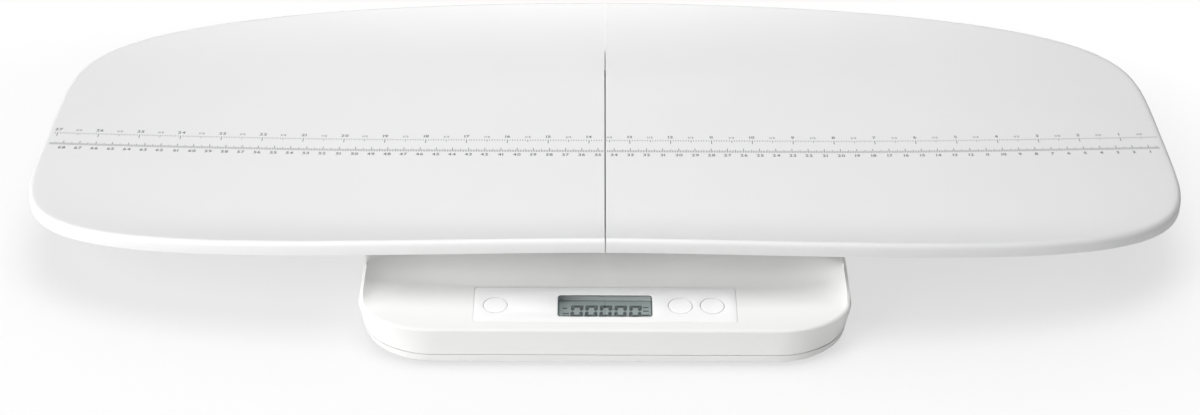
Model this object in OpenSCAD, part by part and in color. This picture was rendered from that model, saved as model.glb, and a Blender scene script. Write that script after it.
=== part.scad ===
// Digital baby weighing scale: a two-part trough tray on a low base with a front display ledge.
// Units are millimetres. +Z is up, +X runs along the tray, -Y faces the person reading the display.
// The origin lies on the table under the middle of the whole scale.

/* [Part] */
// Piece to draw, or all of them

/* [Tray] */
// Length of the tray, left end to right end
tray_length = 694; // [640:2:740]
// Depth of the tray, front rim to back rim
tray_depth = 300; // [290:1:316]
// Thickness of the tray's floor and of its skirt
tray_wall = 3; // [2.4:0.1:3.4]
// Height of the rim over the floor at the middle of a long side
rim_rise_middle = 20; // [14:0.5:26]
// Height of the rim over the floor at the two ends
rim_rise_end = 4.2; // [3:0.1:6]
// How fast the rim falls from the middle to the ends
rim_fall_power = 1.7; // [1.4:0.1:2.4]
// How square the outline is along the tray
outline_power_along = 3.16; // [2.6:0.02:4]
// How square the outline is across the tray
outline_power_across = 4.8; // [3.6:0.1:6]
// Share of the half length over which the floor is level
level_share = 0.4; // [0.39:0.01:0.46]
// How gently the floor rises to the ends
end_rise_power = 1.5; // [1.2:0.1:2.2]
// Share of the half depth where the long walls begin to rise
wall_start_share = 0.42; // [0.4:0.01:0.5]
// How late the long walls steepen
wall_power = 2.6; // [2:0.1:3.2]
// Height of the rim's outer skirt
skirt_height = 8.3; // [7:0.1:10]
// Rounding radius of the rim
rim_rounding = 3; // [2:0.1:3.4]
// Gap between the two tray halves
seam_gap = 0.8; // [0.6:0.1:1.2]
// Lift of a tray half over the platform, set by the rubber pads
pad_stand = 1; // [0.8:0.1:1.4]

/* [Base] */
// Width of the base at its widest line
base_width = 283; // [278:1:292]
// Depth of the base, front to back
base_depth = 306; // [300:1:314]
// How far the base reaches out in front of the tray
front_reach = 28; // [26:0.5:31]
// Height of the platform that carries the tray
platform_height = 44; // [43:0.5:48]
// Height of the underside over the table
underside_height = 3; // [2.8:0.1:3.4]
// Wall thickness of both housings
housing_wall = 2.5; // [2.2:0.1:2.7]
// Height of the line where the two housings meet
parting_height = 8.3; // [8.1:0.1:8.6]
// Height of the shadow groove on that line
groove_height = 0.6; // [0.4:0.1:0.8]
// Corner reach of the base, left to right
corner_across = 44; // [40:1:48]
// Corner reach of the base's front at ledge level, front to back
corner_along = 30; // [26:1:36]
// How far the sides draw in at the underside
draw_in_low = 1.5; // [1:0.1:2.4]
// How far the sides draw in at platform level
draw_in_high = 3; // [1:0.1:3.6]

/* [Display ledge] */
// Height of the ledge's front edge
ledge_front_height = 25.5; // [25:0.1:27]
// Depth of the ledge along its slope
ledge_depth = 39.2; // [38.8:0.1:41]
// Slope of the ledge towards the reader, in degrees
ledge_slope = 6; // [5:0.5:7]
// Steepness of the wall behind the ledge, in degrees
back_wall_slope = 45; // [42:1:52]
// Thickness of the ledge's plastic
ledge_thickness = 3; // [2.8:0.1:3.2]
// Width of the front panel
panel_width = 150; // [148:1:154]
// Depth of the front panel
panel_depth = 30.6; // [30.2:0.1:31]
// Distance from the ledge's front edge to the panel
panel_start = 7.9; // [7.6:0.1:8]
// Thickness of the front panel
panel_thickness = 1; // [0.8:0.1:1.1]
// Width of the display window
window_width = 54; // [52:0.5:56]
// Depth of the display window
window_depth = 19; // [18.4:0.1:19.6]
// Distance from the ledge's front edge to the window's middle
window_middle = 22.2; // [22:0.1:22.6]
// Depth of the display glass under the ledge's face
glass_sink = 5; // [4.6:0.1:5.2]
// Thickness of the display glass
glass_thickness = 2.2; // [2:0.1:2.4]
// Diameter of a key
key_diameter = 13.4; // [12.6:0.1:13.8]
// Distances of the three keys from the middle, left to right
key_places = [-62.7, 43, 61.3];
// Distance from the ledge's front edge to the keys' middles
key_row = 22.6; // [22:0.1:23.2]
// Gap around a key
key_gap = 0.3; // [0.3:0.05:0.4]
// Travel of a key
key_travel = 0.4; // [0.2:0.05:0.45]

/* [Circuit board] */
// Length of the circuit board
board_length = 152; // [148:1:154]
// Depth of the circuit board
board_depth = 32; // [31:0.5:32]
// Thickness of the circuit board
board_thickness = 1.6; // [1.2:0.1:1.6]
// Depth of the board's top under the ledge's face
board_sink = 9; // [8.9:0.1:9.3]

/* [Feet and load cells] */
// Distance from the base's sides to the feet
foot_side_in = 39.5; // [38.5:0.5:43]
// Distance from the base's front edge to the front feet
front_foot_back = 52; // [50:0.5:54]
// Distance from the base's back edge to the rear feet
rear_foot_in = 38; // [37:0.5:42]
// Diameter of a foot carrier
carrier_diameter = 44; // [43:0.5:45]
// Diameter of a rubber foot pad
foot_pad_diameter = 38; // [34:0.5:40]
// Thickness of a rubber foot pad
foot_pad_thickness = 2.2; // [2:0.1:2.3]
// Side of the square load cell plate
cell_plate_side = 27; // [25:0.5:27]
// Thickness of the load cell plate
cell_plate_thickness = 1.2; // [1:0.1:1.4]
// Gap between a foot carrier and its pocket
pocket_gap = 0.6; // [0.5:0.1:0.8]

/* [Battery bay] */
// Diameter of a battery
battery_diameter = 10.5; // [10.2:0.1:10.5]
// Length of a battery with its button
battery_length = 44.5; // [44:0.1:44.6]
// Distance of the battery bay's middle behind the origin
bay_middle = 40; // [34:1:50]
// Gap around the battery door
door_gap = 0.3; // [0.25:0.05:0.4]
// Thickness of the battery door
door_thickness = 2; // [1.8:0.1:2.2]

/* [Tray seats] */
// Sideways distance of the locating pegs from the seam
peg_across = 62; // [56:1:66]
// Distance of the locating pegs from the tray's middle line
peg_along = 46; // [42:1:50]
// Diameter of a locating peg
peg_diameter = 9; // [8:0.5:10]
// Gap between a peg and its socket
peg_gap = 0.3; // [0.3:0.05:0.45]
// Depth of a peg's socket
socket_depth = 8.8; // [8:0.1:9.4]
// Diameter of a rubber platform pad
pad_diameter = 20; // [16:1:24]
// Sideways distance of the platform pads from the seam
pad_across = 96; // [90:1:100]
// Distance of the platform pads from the tray's middle line
pad_along = 48; // [40:1:52]

/* [Hidden] */
eps = 0.01;
housing_floor = 2.2;
half_length = tray_length / 2;
half_depth = tray_depth / 2;
tray_middle_y = front_reach / 2;
base_front_y = -(tray_depth + front_reach) / 2;
base_back_y = base_front_y + base_depth;
ledge_foot_y = base_front_y + ledge_depth * cos(ledge_slope);
ledge_foot_height = ledge_front_height + ledge_depth * sin(ledge_slope);
tray_floor_height = platform_height + pad_stand + tray_wall;
floor_top = underside_height + housing_floor;
upper_low = parting_height + groove_height / 2;
lower_high = parting_height - groove_height / 2;
arc_facets = 64;
small_facets = 40;
wire_facets = 16;
over = 1;

// Housing details
plan_steps = 12;
foot_curve_across = 42.5;
foot_curve_along = 20;
lip_gap = 0.3;
lip_thickness = 1.4;
lip_height = 2.8;
pocket_radius = carrier_diameter / 2 + pocket_gap;
pocket_wall = 2;
pocket_roof = 13.4;
notch_width = 4;
boss_meet = 9.2;
rib_thickness = 1.8;
rib_depth = 5;
front_screw_in = [49.5, 14];
middle_screw_in = [10.5, -5];
back_screw_in = [101.5, 13];
screw_spots = [
    [base_width / 2 - front_screw_in[0], base_front_y + front_screw_in[1]],
    [base_width / 2 - middle_screw_in[0], base_back_y - base_depth / 2 - middle_screw_in[1]],
    [base_width / 2 - back_screw_in[0], base_back_y - back_screw_in[1]]
];
screw_head_radius = 2.8;
screw_cross = [3, 0.6, 1];
screw_head_height = 2;
screw_radius = 1.5;
screw_clearance = 0.15;
screw_head_seat = 6.6;
screw_length = 10;
lower_boss_radius = 4.5;
upper_boss_radius = 4;
ledge_overshoot = 20;

// Display details
panel_gap = 0.2;
panel_corner = 2;
lens_flange = 3;
lens_flange_thickness = 1;
lens_gap = 0.2;
well_margin = 1;
well_wall = 2.5;
glass_margin = 4;
holder_margin = 2.5;
holder_gap = 0.2;
holder_lip = 2.5;
holder_top_drop = 0.4;
strip_length = 50;
strip_width = 1.6;
key_flange = 1.3;
key_flange_thickness = 0.8;
key_flange_gap = 0.1;
key_stem_radius = 2.2;
key_stem_clearance = 0.2;
switch_side = 6;
switch_height = 3.5;
plunger_radius = 1.7;
plunger_gap = 0.08;
plunger_height = 2.1;
plunger_bore_depth = 2.2;
frame_root = 0.5;
board_start = 6.2;
board_boss_radius = 3;
board_screw_x = 70;
board_screw_rows = [10.6, 34];
board_screw_radius = 0.95;
board_screw_clearance = 0.05;
board_hole_clearance = 0.3;
board_screw_length = 5.6;
board_screw_head = [2, 1.5];
socket_block = [12, 5, 5];
socket_x = 50;
socket_row = 31.5;
driver_chip = [7, 1.6];
amplifier_chip = [8, 6, 1.5];
clock_crystal = [9, 4, 3];
chip_across = 24;

// Feet details
carrier_floor = 2;
carrier_wall = 1.8;
carrier_rim = 8.2;
cell_seat = 6.2;
cell_rail_width = 3;
cell_slot = 1.5;
cell_tongue = 9;
cell_tongue_length = 19;
cell_frame = 4;
cell_boss_radius = 3.5;
gauge_size = [4, 6, 0.3];
gauge_place = -7.2;
pad_ring_inset = 4;
pad_ring_width = 2;
pad_ring_depth = 0.5;

// Battery details
battery_count = 3;
battery_spacing = 0.3;
battery_pitch = battery_diameter + battery_spacing;
button_radius = 2.6;
button_height = 1;
bay_end_space = 8.5;
bay_side_space = 3;
bay_length = battery_length + bay_end_space;
bay_depth = battery_count * battery_pitch + bay_side_space;
bay_wall = 2;
bay_roof = 17.2;
battery_low = underside_height + door_thickness + 0.1;
door_rebate = 1;
door_tab = [12, 1.2, 4];
door_tab_gap = 0.1;
door_tab_across = 16;
door_grip = [14, 5, 0.8];
door_grip_inset = 7;
door_grip_corner = 2;
contact_thickness = 0.5;
contact_height = 9;
contact_lift = 0.5;
contact_button_radius = 2.2;
spring_wire = 0.45;
spring_radius = 3.4;
spring_coils = 6;
spring_taper = 0.12;
spring_facets = 24;

// Wire details
cable_radius = 1;
battery_cable_radius = 0.8;
cable_gap = 0.05;
cable_low = floor_top + cable_radius + cable_gap;
cable_high = 8.95;
battery_cable_across = 12;
battery_cable_high = floor_top + 6;
battery_cable_drop = 8;
battery_cable_row = 24;

// Tray details
grid_segments = 64;
grid_rings = [0.16, 0.3, 0.42, 0.52, 0.61, 0.69, 0.76, 0.82, 0.875, 0.925, 0.965, 1];
rim_steps = [60, 30, 0];
flange_start = 0.4;
flange_thickness = 2.2;
flange_depth = 5.4;
flange_back_in = 32;
flange_reach = base_back_y - tray_middle_y - flange_back_in;
flange_root = 0.6;
flange_clearance = 1;
channel_gap = 0.8;
channel_rim = 2.5;
socket_wall = 2.2;
socket_floor = 2;
wing_rib_start = 152;
wing_rib_end = 292;
wing_rib_y = 46;
wing_rib_width = 2.4;
wing_rib_depth = 5;
wing_rib_tip = 1;
pad_recess = 0.8;
pad_recess_gap = 0.2;

// ---------- shared shapes ----------

// Places children in the ledge's own frame: x sideways, y up the slope, z out of its face.
module on_ledge() {
    translate([0, base_front_y, ledge_front_height])
        rotate([ledge_slope, 0, 0])
            children();
}

// A flat slab with rounded corners, centred in x and y, standing on z = 0.
module slab(size_x, size_y, height, corner) {
    hull()
        for (sx = [-1, 1], sy = [-1, 1])
            translate([sx * (size_x / 2 - corner), sy * (size_y / 2 - corner), 0])
                cylinder(h = height, r = corner, $fn = 32);
}

// A plain box centred in x and y, standing on z = 0.
module block(size_x, size_y, height) {
    translate([-size_x / 2, -size_y / 2, 0])
        cube([size_x, size_y, height]);
}

// Repeats children on both sides of the middle plane.
module both_sides() {
    for (side = [0, 1])
        mirror([side, 0, 0])
            children();
}

// ---------- base outline ----------

function corner_points(cx, cy, rx, ry, from) = [
    for (i = [0:plan_steps])
        let (a = from + 90 * i / plan_steps)
            [cx + rx * cos(a), cy + ry * sin(a)]
];

// Outline of the base, drawn in by inset, with front corners front_ry deep.
function base_outline(inset, front_ry) =
    let (
        w = base_width / 2 - inset,
        f = base_front_y + inset,
        b = base_back_y - inset,
        rx = corner_across - inset,
        ry = front_ry - inset / 2
    )
    concat(
        corner_points(w - rx, b - rx, rx, rx, 0),
        corner_points(-w + rx, b - rx, rx, rx, 90),
        corner_points(-w + rx, f + ry, rx, ry, 180),
        corner_points(w - rx, f + ry, rx, ry, 270)
    );

module base_slice(inset, front_ry, height) {
    translate([0, 0, height - eps])
        linear_extrude(eps)
            polygon(base_outline(inset, front_ry));
}

// The full block of the base, drawn in by inset on all sides but the underside.
module base_block(inset) {
    hull() {
        base_slice(draw_in_low + inset, corner_across, underside_height + eps);
        base_slice(inset, corner_along, ledge_front_height);
        base_slice(draw_in_high + inset, corner_along, platform_height - inset);
    }
}

// Rear edge of the ledge, seen from above, moved back by shift.
function ledge_outline(shift) =
    let (
        foot_y = ledge_foot_y + shift,
        mx = base_width / 2 - foot_curve_across
    )
    concat(
        [[base_width, foot_y - foot_curve_along - shift / 2], [base_width, base_front_y - ledge_overshoot]],
        [[-base_width, base_front_y - ledge_overshoot],
            [-base_width, foot_y - foot_curve_along - shift / 2]],
        [for (i = [0:plan_steps])
            let (a = 180 - 90 * i / plan_steps)
                [-mx + foot_curve_across * cos(a), foot_y - foot_curve_along * (1 - sin(a))]],
        [for (i = [0:plan_steps])
            let (a = 90 - 90 * i / plan_steps)
                [mx + foot_curve_across * cos(a), foot_y - foot_curve_along * (1 - sin(a))]]
    );

// Space over the ledge, grown into the plastic by grow.
module ledge_space(grow) {
    top = platform_height + over;
    bottom = ledge_front_height - grow;
    back = grow / sin(back_wall_slope);
    intersection() {
        hull() {
            translate([0, 0, bottom])
                linear_extrude(eps)
                    polygon(ledge_outline(back + (bottom - ledge_foot_height) / tan(back_wall_slope)));
            translate([0, 0, top])
                linear_extrude(eps)
                    polygon(ledge_outline(back + (top - ledge_foot_height) / tan(back_wall_slope)));
        }
        on_ledge()
            translate([-base_width, -base_depth, -grow])
                cube([2 * base_width, 2 * base_depth, base_depth]);
    }
}

module at_housing_screws() {
    for (spot = screw_spots)
        both_sides()
            translate([spot[0], spot[1], 0])
                children();
}

// ---------- upper housing ----------

module upper_shell() {
    difference() {
        base_block(0);
        ledge_space(0);
        difference() {
            base_block(housing_wall);
            ledge_space(ledge_thickness);
        }
        translate([-base_width, -base_depth, 0])
            cube([2 * base_width, 2 * base_depth, upper_low]);
    }
}

module upper_bosses() {
    for (i = [0:len(screw_spots) - 1]) {
        top = i == 0 ? ledge_front_height - ledge_thickness / 4 : platform_height - housing_wall / 2;
        both_sides()
            translate([screw_spots[i][0], screw_spots[i][1], boss_meet])
                cylinder(h = top - boss_meet, r = upper_boss_radius, $fn = small_facets);
    }
}

// Tubes that hold the tray's locating pegs, and the trough for its seam flanges.
module tray_sockets() {
    both_sides()
        for (sy = [-1, 1])
            translate([peg_across, tray_middle_y + sy * peg_along,
                platform_height - socket_depth - socket_floor])
                cylinder(h = socket_depth + socket_floor / 2, r = peg_diameter / 2 + peg_gap + socket_wall,
                    $fn = small_facets);
    translate([0, tray_middle_y, platform_height - flange_depth - channel_gap / 2 - channel_rim])
        block(2 * (flange_start + flange_thickness + channel_gap + channel_rim),
            2 * (flange_reach + channel_gap + channel_rim), flange_depth + channel_rim);
}

module tray_socket_cuts() {
    both_sides()
        for (sy = [-1, 1]) {
            translate([peg_across, tray_middle_y + sy * peg_along, platform_height - socket_depth])
                cylinder(h = socket_depth + over, r = peg_diameter / 2 + peg_gap, $fn = small_facets);
            translate([pad_across, tray_middle_y + sy * pad_along, platform_height - pad_recess])
                cylinder(h = pad_recess + over, r = pad_diameter / 2 + pad_recess_gap, $fn = arc_facets);
        }
    translate([0, tray_middle_y, platform_height - flange_depth - channel_gap / 2])
        block(2 * (flange_start + flange_thickness + channel_gap),
            2 * (flange_reach + channel_gap), flange_depth + channel_gap + over);
}

// Stiffening ribs under the platform, on the lines of the pegs, the pads and the trough's ends.
module platform_ribs() {
    rib_top = platform_height - housing_wall / 2;
    rib_low = platform_height - housing_wall - rib_depth;
    front = ledge_foot_y + (rib_top - ledge_foot_height) / tan(back_wall_slope) + ledge_thickness / 2;
    intersection() {
        base_block(housing_wall / 2);
        union() {
            for (sy = [-1, 1], y = [peg_along, flange_reach + channel_gap + channel_rim / 2])
                translate([0, tray_middle_y + sy * y, rib_low])
                    block(base_width, rib_thickness, rib_top - rib_low);
            both_sides()
                for (x = [peg_across, pad_across])
                    translate([x - rib_thickness / 2, front, rib_low])
                        cube([rib_thickness, base_back_y - front, rib_top - rib_low]);
        }
    }
}

// Well that carries the display window, and the posts of the circuit board.
module ledge_frames() {
    on_ledge() {
        translate([0, window_middle, -glass_sink])
            block(window_width + 2 * (well_margin + well_wall),
                window_depth + 2 * (well_margin + well_wall),
                glass_sink - ledge_thickness + frame_root);
        for (row = board_screw_rows)
            both_sides()
                translate([board_screw_x, row, -board_sink])
                    cylinder(h = board_sink - ledge_thickness + frame_root, r = board_boss_radius,
                        $fn = small_facets);
    }
}

module ledge_cuts() {
    on_ledge() {
        translate([0, panel_start + panel_depth / 2, -panel_thickness])
            slab(panel_width + 2 * panel_gap, panel_depth + 2 * panel_gap, panel_thickness + over,
                panel_corner + panel_gap);
        translate([0, window_middle, -panel_thickness - lens_flange_thickness])
            block(window_width + 2 * (lens_flange + lens_gap), window_depth + 2 * (lens_flange + lens_gap),
                panel_thickness + lens_flange_thickness);
        translate([0, window_middle, -glass_sink - over])
            block(window_width + 2 * well_margin, window_depth + 2 * well_margin, glass_sink + over);
        key_holes(-ledge_thickness - over, over);
        for (row = board_screw_rows)
            both_sides()
                translate([board_screw_x, row, -board_sink - over])
                    cylinder(h = board_screw_length, r = board_screw_radius + board_screw_clearance,
                        $fn = small_facets);
    }
}

module upper_housing() {
    color("#f4f4f2")
        difference() {
            union() {
                upper_shell();
                upper_bosses();
                tray_sockets();
                platform_ribs();
                ledge_frames();
            }
            tray_socket_cuts();
            ledge_cuts();
            at_housing_screws()
                translate([0, 0, boss_meet - over])
                    cylinder(h = screw_length - over, r = screw_radius + screw_clearance / 3,
                        $fn = small_facets);
        }
}

// ---------- lower housing ----------

foot_across = base_width / 2 - foot_side_in;

foot_spots = [
    [-foot_across, base_front_y + front_foot_back],
    [foot_across, base_front_y + front_foot_back],
    [-foot_across, base_back_y - rear_foot_in],
    [foot_across, base_back_y - rear_foot_in]
];

module at_foot(i) {
    translate([foot_spots[i][0], foot_spots[i][1], 0])
        mirror([foot_spots[i][0] < 0 ? 1 : 0, 0, 0])
            children();
}

module level_slab(low, high) {
    translate([-base_width, -base_depth, low])
        cube([2 * base_width, 2 * base_depth, high - low]);
}

module lower_shell() {
    difference() {
        intersection() {
            base_block(0);
            level_slab(underside_height, lower_high);
        }
        intersection() {
            base_block(housing_wall);
            level_slab(floor_top, lower_high + over);
        }
    }
    difference() {
        intersection() {
            base_block(housing_wall + lip_gap);
            level_slab(floor_top - housing_floor / 4, lower_high + lip_height);
        }
        intersection() {
            base_block(housing_wall + lip_gap + lip_thickness);
            level_slab(floor_top - over, lower_high + lip_height + over);
        }
    }
}

module cell_pocket() {
    cylinder(h = pocket_roof + pocket_wall - underside_height, r = pocket_radius + pocket_wall,
        $fn = arc_facets);
}

module cell_pocket_cut() {
    translate([0, 0, -over])
        cylinder(h = pocket_roof - underside_height + over, r = pocket_radius, $fn = arc_facets);
    translate([-pocket_radius - pocket_wall - over, -notch_width / 2, floor_top - underside_height])
        cube([2 * (pocket_wall + over), notch_width, pocket_roof - floor_top - pocket_wall]);
}

module bay_walls() {
    translate([0, bay_middle, underside_height])
        block(bay_length + 2 * bay_wall, bay_depth + 2 * bay_wall, bay_roof + bay_wall - underside_height);
}

module lower_housing() {
    color("#efefed")
        union() {
            difference() {
                union() {
                    lower_shell();
                    for (i = [0:3])
                        at_foot(i)
                            translate([0, 0, underside_height])
                                cell_pocket();
                    bay_walls();
                    at_housing_screws()
                        translate([0, 0, underside_height])
                            cylinder(h = boss_meet - underside_height, r = lower_boss_radius,
                                $fn = small_facets);
                }
                for (i = [0:3])
                    at_foot(i)
                        translate([0, 0, underside_height])
                            cell_pocket_cut();
                translate([0, bay_middle, underside_height - over]) {
                    block(bay_length, bay_depth, bay_roof - underside_height + over);
                    block(bay_length + 2 * door_rebate, bay_depth + 2 * door_rebate, door_thickness + over);
                }
                at_housing_screws() {
                    translate([0, 0, underside_height - over])
                        cylinder(h = screw_head_seat - underside_height + over,
                            r = screw_head_radius + screw_clearance, $fn = small_facets);
                    translate([0, 0, underside_height])
                        cylinder(h = boss_meet, r = screw_radius + screw_clearance, $fn = small_facets);
                }
            }
            for (i = [0:3])
                at_foot(i)
                    translate([0, 0, cell_seat + cell_plate_thickness])
                        cylinder(h = pocket_roof + pocket_wall / 2 - cell_seat - cell_plate_thickness,
                            r = cell_boss_radius, $fn = small_facets);
        }
}

module housing_screws() {
    color("#b8babd")
        at_housing_screws() {
            translate([0, 0, screw_head_seat - screw_head_height])
                difference() {
                    cylinder(h = screw_head_height, r = screw_head_radius, $fn = small_facets);
                    for (a = [0, 90])
                        rotate([0, 0, a])
                            translate([0, 0, -screw_cross[2]])
                                block(screw_cross[0], screw_cross[1], 2 * screw_cross[2]);
                }
            translate([0, 0, screw_head_seat - screw_head_height / 4])
                cylinder(h = screw_length, r = screw_radius, $fn = small_facets);
        }
}

// ---------- display and keys ----------

module key_holes(low, high) {
    for (x = key_places)
        translate([x, key_row, low])
            cylinder(h = high - low, r = key_diameter / 2 + key_gap, $fn = arc_facets);
}

module display_panel() {
    color("#fbfbfa")
        on_ledge()
            difference() {
                translate([0, panel_start + panel_depth / 2, -panel_thickness])
                    slab(panel_width, panel_depth, panel_thickness, panel_corner);
                translate([0, window_middle, -panel_thickness - over])
                    slab(window_width + lens_gap, window_depth + lens_gap, panel_thickness + 2 * over,
                        panel_corner);
                key_holes(-panel_thickness - over, over);
            }
}

module display_lens() {
    color("#dfe6e4", 0.5)
        on_ledge()
            union() {
                translate([0, window_middle, -panel_thickness - lens_flange_thickness / 2])
                    slab(window_width, window_depth, panel_thickness + lens_flange_thickness / 2,
                        panel_corner);
                translate([0, window_middle, -panel_thickness - lens_flange_thickness])
                    block(window_width + 2 * lens_flange, window_depth + 2 * lens_flange,
                        lens_flange_thickness);
            }
}

module display_glass() {
    color("#9fa9a4")
        on_ledge()
            translate([0, window_middle, -glass_sink - glass_thickness])
                block(window_width + 2 * glass_margin, window_depth + 2 * glass_margin, glass_thickness);
}

module display_holder() {
    outer = glass_margin + holder_margin;
    inner = glass_margin + holder_gap;
    opening = glass_margin - holder_lip;
    color("#f0f0ee")
        on_ledge()
            translate([0, window_middle, -board_sink])
                difference() {
                    block(window_width + 2 * outer, window_depth + 2 * outer,
                        board_sink - glass_sink - holder_top_drop);
                    translate([0, 0, board_sink - glass_sink - glass_thickness])
                        block(window_width + 2 * inner, window_depth + 2 * inner, glass_thickness);
                    translate([0, 0, -over])
                        block(window_width + 2 * opening, window_depth + 2 * opening, board_sink);
                }
}

module contact_strip() {
    opening = glass_margin - holder_lip;
    color("#33363a")
        on_ledge()
            translate([0, window_middle - window_depth / 2 - opening + strip_width / 2 + holder_gap,
                -board_sink])
                block(strip_length, strip_width, board_sink - glass_sink - glass_thickness);
}

module circuit_board() {
    color("#2f6b45")
        on_ledge()
            difference() {
                translate([-board_length / 2, board_start, -board_sink - board_thickness])
                    cube([board_length, board_depth, board_thickness]);
                for (row = board_screw_rows)
                    both_sides()
                        translate([board_screw_x, row, -board_sink - board_thickness - over])
                            cylinder(h = board_thickness + 2 * over,
                                r = board_screw_radius + board_hole_clearance,
                                $fn = small_facets);
            }
}

module board_chips() {
    low = -board_sink - board_thickness;
    color("#1c1d1f")
        on_ledge() {
            translate([0, window_middle, low - driver_chip[1]])
                cylinder(h = driver_chip[1], r = driver_chip[0], $fn = small_facets);
            translate([chip_across, window_middle, low - amplifier_chip[2]])
                block(amplifier_chip[0], amplifier_chip[1], amplifier_chip[2]);
            translate([-chip_across, window_middle, low - clock_crystal[2]])
                block(clock_crystal[0], clock_crystal[1], clock_crystal[2]);
        }
}

module key_switches() {
    color("#2b2c2e")
        on_ledge()
            for (x = key_places)
                translate([x, key_row, -board_sink])
                    difference() {
                        block(switch_side, switch_side, switch_height);
                        translate([0, 0, switch_height - plunger_bore_depth])
                            cylinder(h = plunger_bore_depth + over, r = plunger_radius + plunger_gap,
                                $fn = small_facets);
                    }
}

key_stem_low = board_sink - switch_height - key_travel - key_stem_clearance;

// Moulded key: a cap flush with the panel, a stop flange under the ledge and a stem.
module key_piece(i) {
    color("#f6f6f5")
        on_ledge()
            translate([key_places[i], key_row, 0]) {
                translate([0, 0, -ledge_thickness - key_flange_gap - key_flange_thickness / 2])
                    cylinder(h = ledge_thickness + key_flange_gap + key_flange_thickness / 2,
                        r = key_diameter / 2,
                        $fn = arc_facets);
                translate([0, 0, -ledge_thickness - key_flange_gap - key_flange_thickness])
                    cylinder(h = key_flange_thickness, r = key_diameter / 2 + key_flange, $fn = arc_facets);
                translate([0, 0, -key_stem_low])
                    cylinder(h = key_stem_low - ledge_thickness - key_flange_gap, r = key_stem_radius,
                        $fn = small_facets);
            }
}

module plunger_piece(i) {
    color("#4a4c50")
        on_ledge()
            translate([key_places[i], key_row, -key_stem_low - plunger_height])
                cylinder(h = plunger_height, r = plunger_radius, $fn = small_facets);
}

module key_left() {
    key_piece(0);
}

module key_middle() {
    key_piece(1);
}

module key_right() {
    key_piece(2);
}

module plunger_left() {
    plunger_piece(0);
}

module plunger_middle() {
    plunger_piece(1);
}

module plunger_right() {
    plunger_piece(2);
}

module board_screws() {
    low = -board_sink - board_thickness;
    color("#b8babd")
        on_ledge()
            for (row = board_screw_rows)
                both_sides() {
                    translate([board_screw_x, row, low - board_screw_head[1]])
                        cylinder(h = board_screw_head[1], r = board_screw_head[0], $fn = small_facets);
                    translate([board_screw_x, row, low - board_screw_head[1] / 4])
                        cylinder(h = board_screw_length, r = board_screw_radius, $fn = small_facets);
                }
}

module wire_sockets() {
    color("#ecebe4")
        on_ledge()
            both_sides()
                translate([socket_x, socket_row, -board_sink - board_thickness - socket_block[2]])
                    block(socket_block[0], socket_block[1], socket_block[2]);
}

// ---------- wires ----------

module straight(from, to, r) {
    d = to - from;
    turn = abs(d[0]) > 0 ? [0, 90, 0] : abs(d[1]) > 0 ? [-90, 0, 0] : [0, 0, 0];
    start = d[0] + d[1] + d[2] > 0 ? from : to;
    translate(start)
        rotate(turn)
            cylinder(h = norm(d), r = r, $fn = wire_facets);
}

module cable(points, r) {
    for (i = [1:len(points) - 1])
        straight(points[i - 1], points[i], r);
    for (i = [1:len(points) - 2])
        translate(points[i])
            sphere(r = r, $fn = wire_facets);
}

// Height of a plane that lies depth under the ledge's face, at the plan place y.
function under_ledge(y, depth) =
    ledge_front_height + (y - base_front_y) * tan(ledge_slope) - depth / cos(ledge_slope);

socket_y = base_front_y + socket_row + 1.5;
socket_low = under_ledge(socket_y - cable_radius,
    board_sink + board_thickness + socket_block[2]) - cable_gap;
front_foot_y = foot_spots[0][1];
rear_foot_y = foot_spots[2][1];
cell_exit_x = foot_across - 6;
front_run = [socket_x + 2, foot_across - 30];
rear_run = [socket_x - 2, foot_across - 38];

module cell_cables() {
    color("#5a5d61")
        both_sides() {
            cable([
                [cell_exit_x, front_foot_y, cable_high],
                [front_run[1], front_foot_y, cable_high],
                [front_run[1], front_foot_y, cable_low],
                [front_run[0], front_foot_y, cable_low],
                [front_run[0], socket_y, cable_low],
                [front_run[0], socket_y, socket_low]
            ], cable_radius);
            cable([
                [cell_exit_x, rear_foot_y, cable_high],
                [rear_run[1], rear_foot_y, cable_high],
                [rear_run[1], rear_foot_y, cable_low],
                [rear_run[1], front_foot_y + 6, cable_low],
                [rear_run[0], front_foot_y + 6, cable_low],
                [rear_run[0], socket_y, cable_low],
                [rear_run[0], socket_y, socket_low]
            ], cable_radius);
        }
}

module battery_cables() {
    x = battery_cable_across;
    bay_front = bay_middle - bay_depth / 2 - bay_wall;
    board_y = base_front_y + battery_cable_row;
    board_low = under_ledge(board_y - battery_cable_radius, board_sink + board_thickness) - cable_gap;
    color("#b03a34")
        both_sides()
            cable([
                [x, bay_front - cable_gap, battery_cable_high],
                [x, bay_front - battery_cable_drop, battery_cable_high],
                [x, bay_front - battery_cable_drop, cable_low],
                [x, board_y, cable_low],
                [x, board_y, board_low]
            ], battery_cable_radius);
}

// ---------- feet and load cells ----------

module carrier_piece(i) {
    color("#e9e9e6")
        at_foot(i)
            translate([0, 0, foot_pad_thickness])
                difference() {
                    cylinder(h = carrier_rim - foot_pad_thickness, r = carrier_diameter / 2,
                        $fn = arc_facets);
                    translate([0, 0, carrier_floor])
                        difference() {
                            cylinder(h = carrier_rim, r = carrier_diameter / 2 - carrier_wall,
                                $fn = arc_facets);
                            for (side = [-1, 1])
                                translate([0, side * (cell_plate_side - cell_rail_width) / 2, -over])
                                    block(cell_plate_side, cell_rail_width,
                                        cell_seat - foot_pad_thickness - carrier_floor + over);
                        }
                    translate([-carrier_diameter, -notch_width / 2, cell_seat - foot_pad_thickness])
                        cube([carrier_diameter, notch_width, carrier_rim]);
                }
}

module foot_carrier_fl() {
    carrier_piece(0);
}

module foot_carrier_fr() {
    carrier_piece(1);
}

module foot_carrier_rl() {
    carrier_piece(2);
}

module foot_carrier_rr() {
    carrier_piece(3);
}

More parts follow.
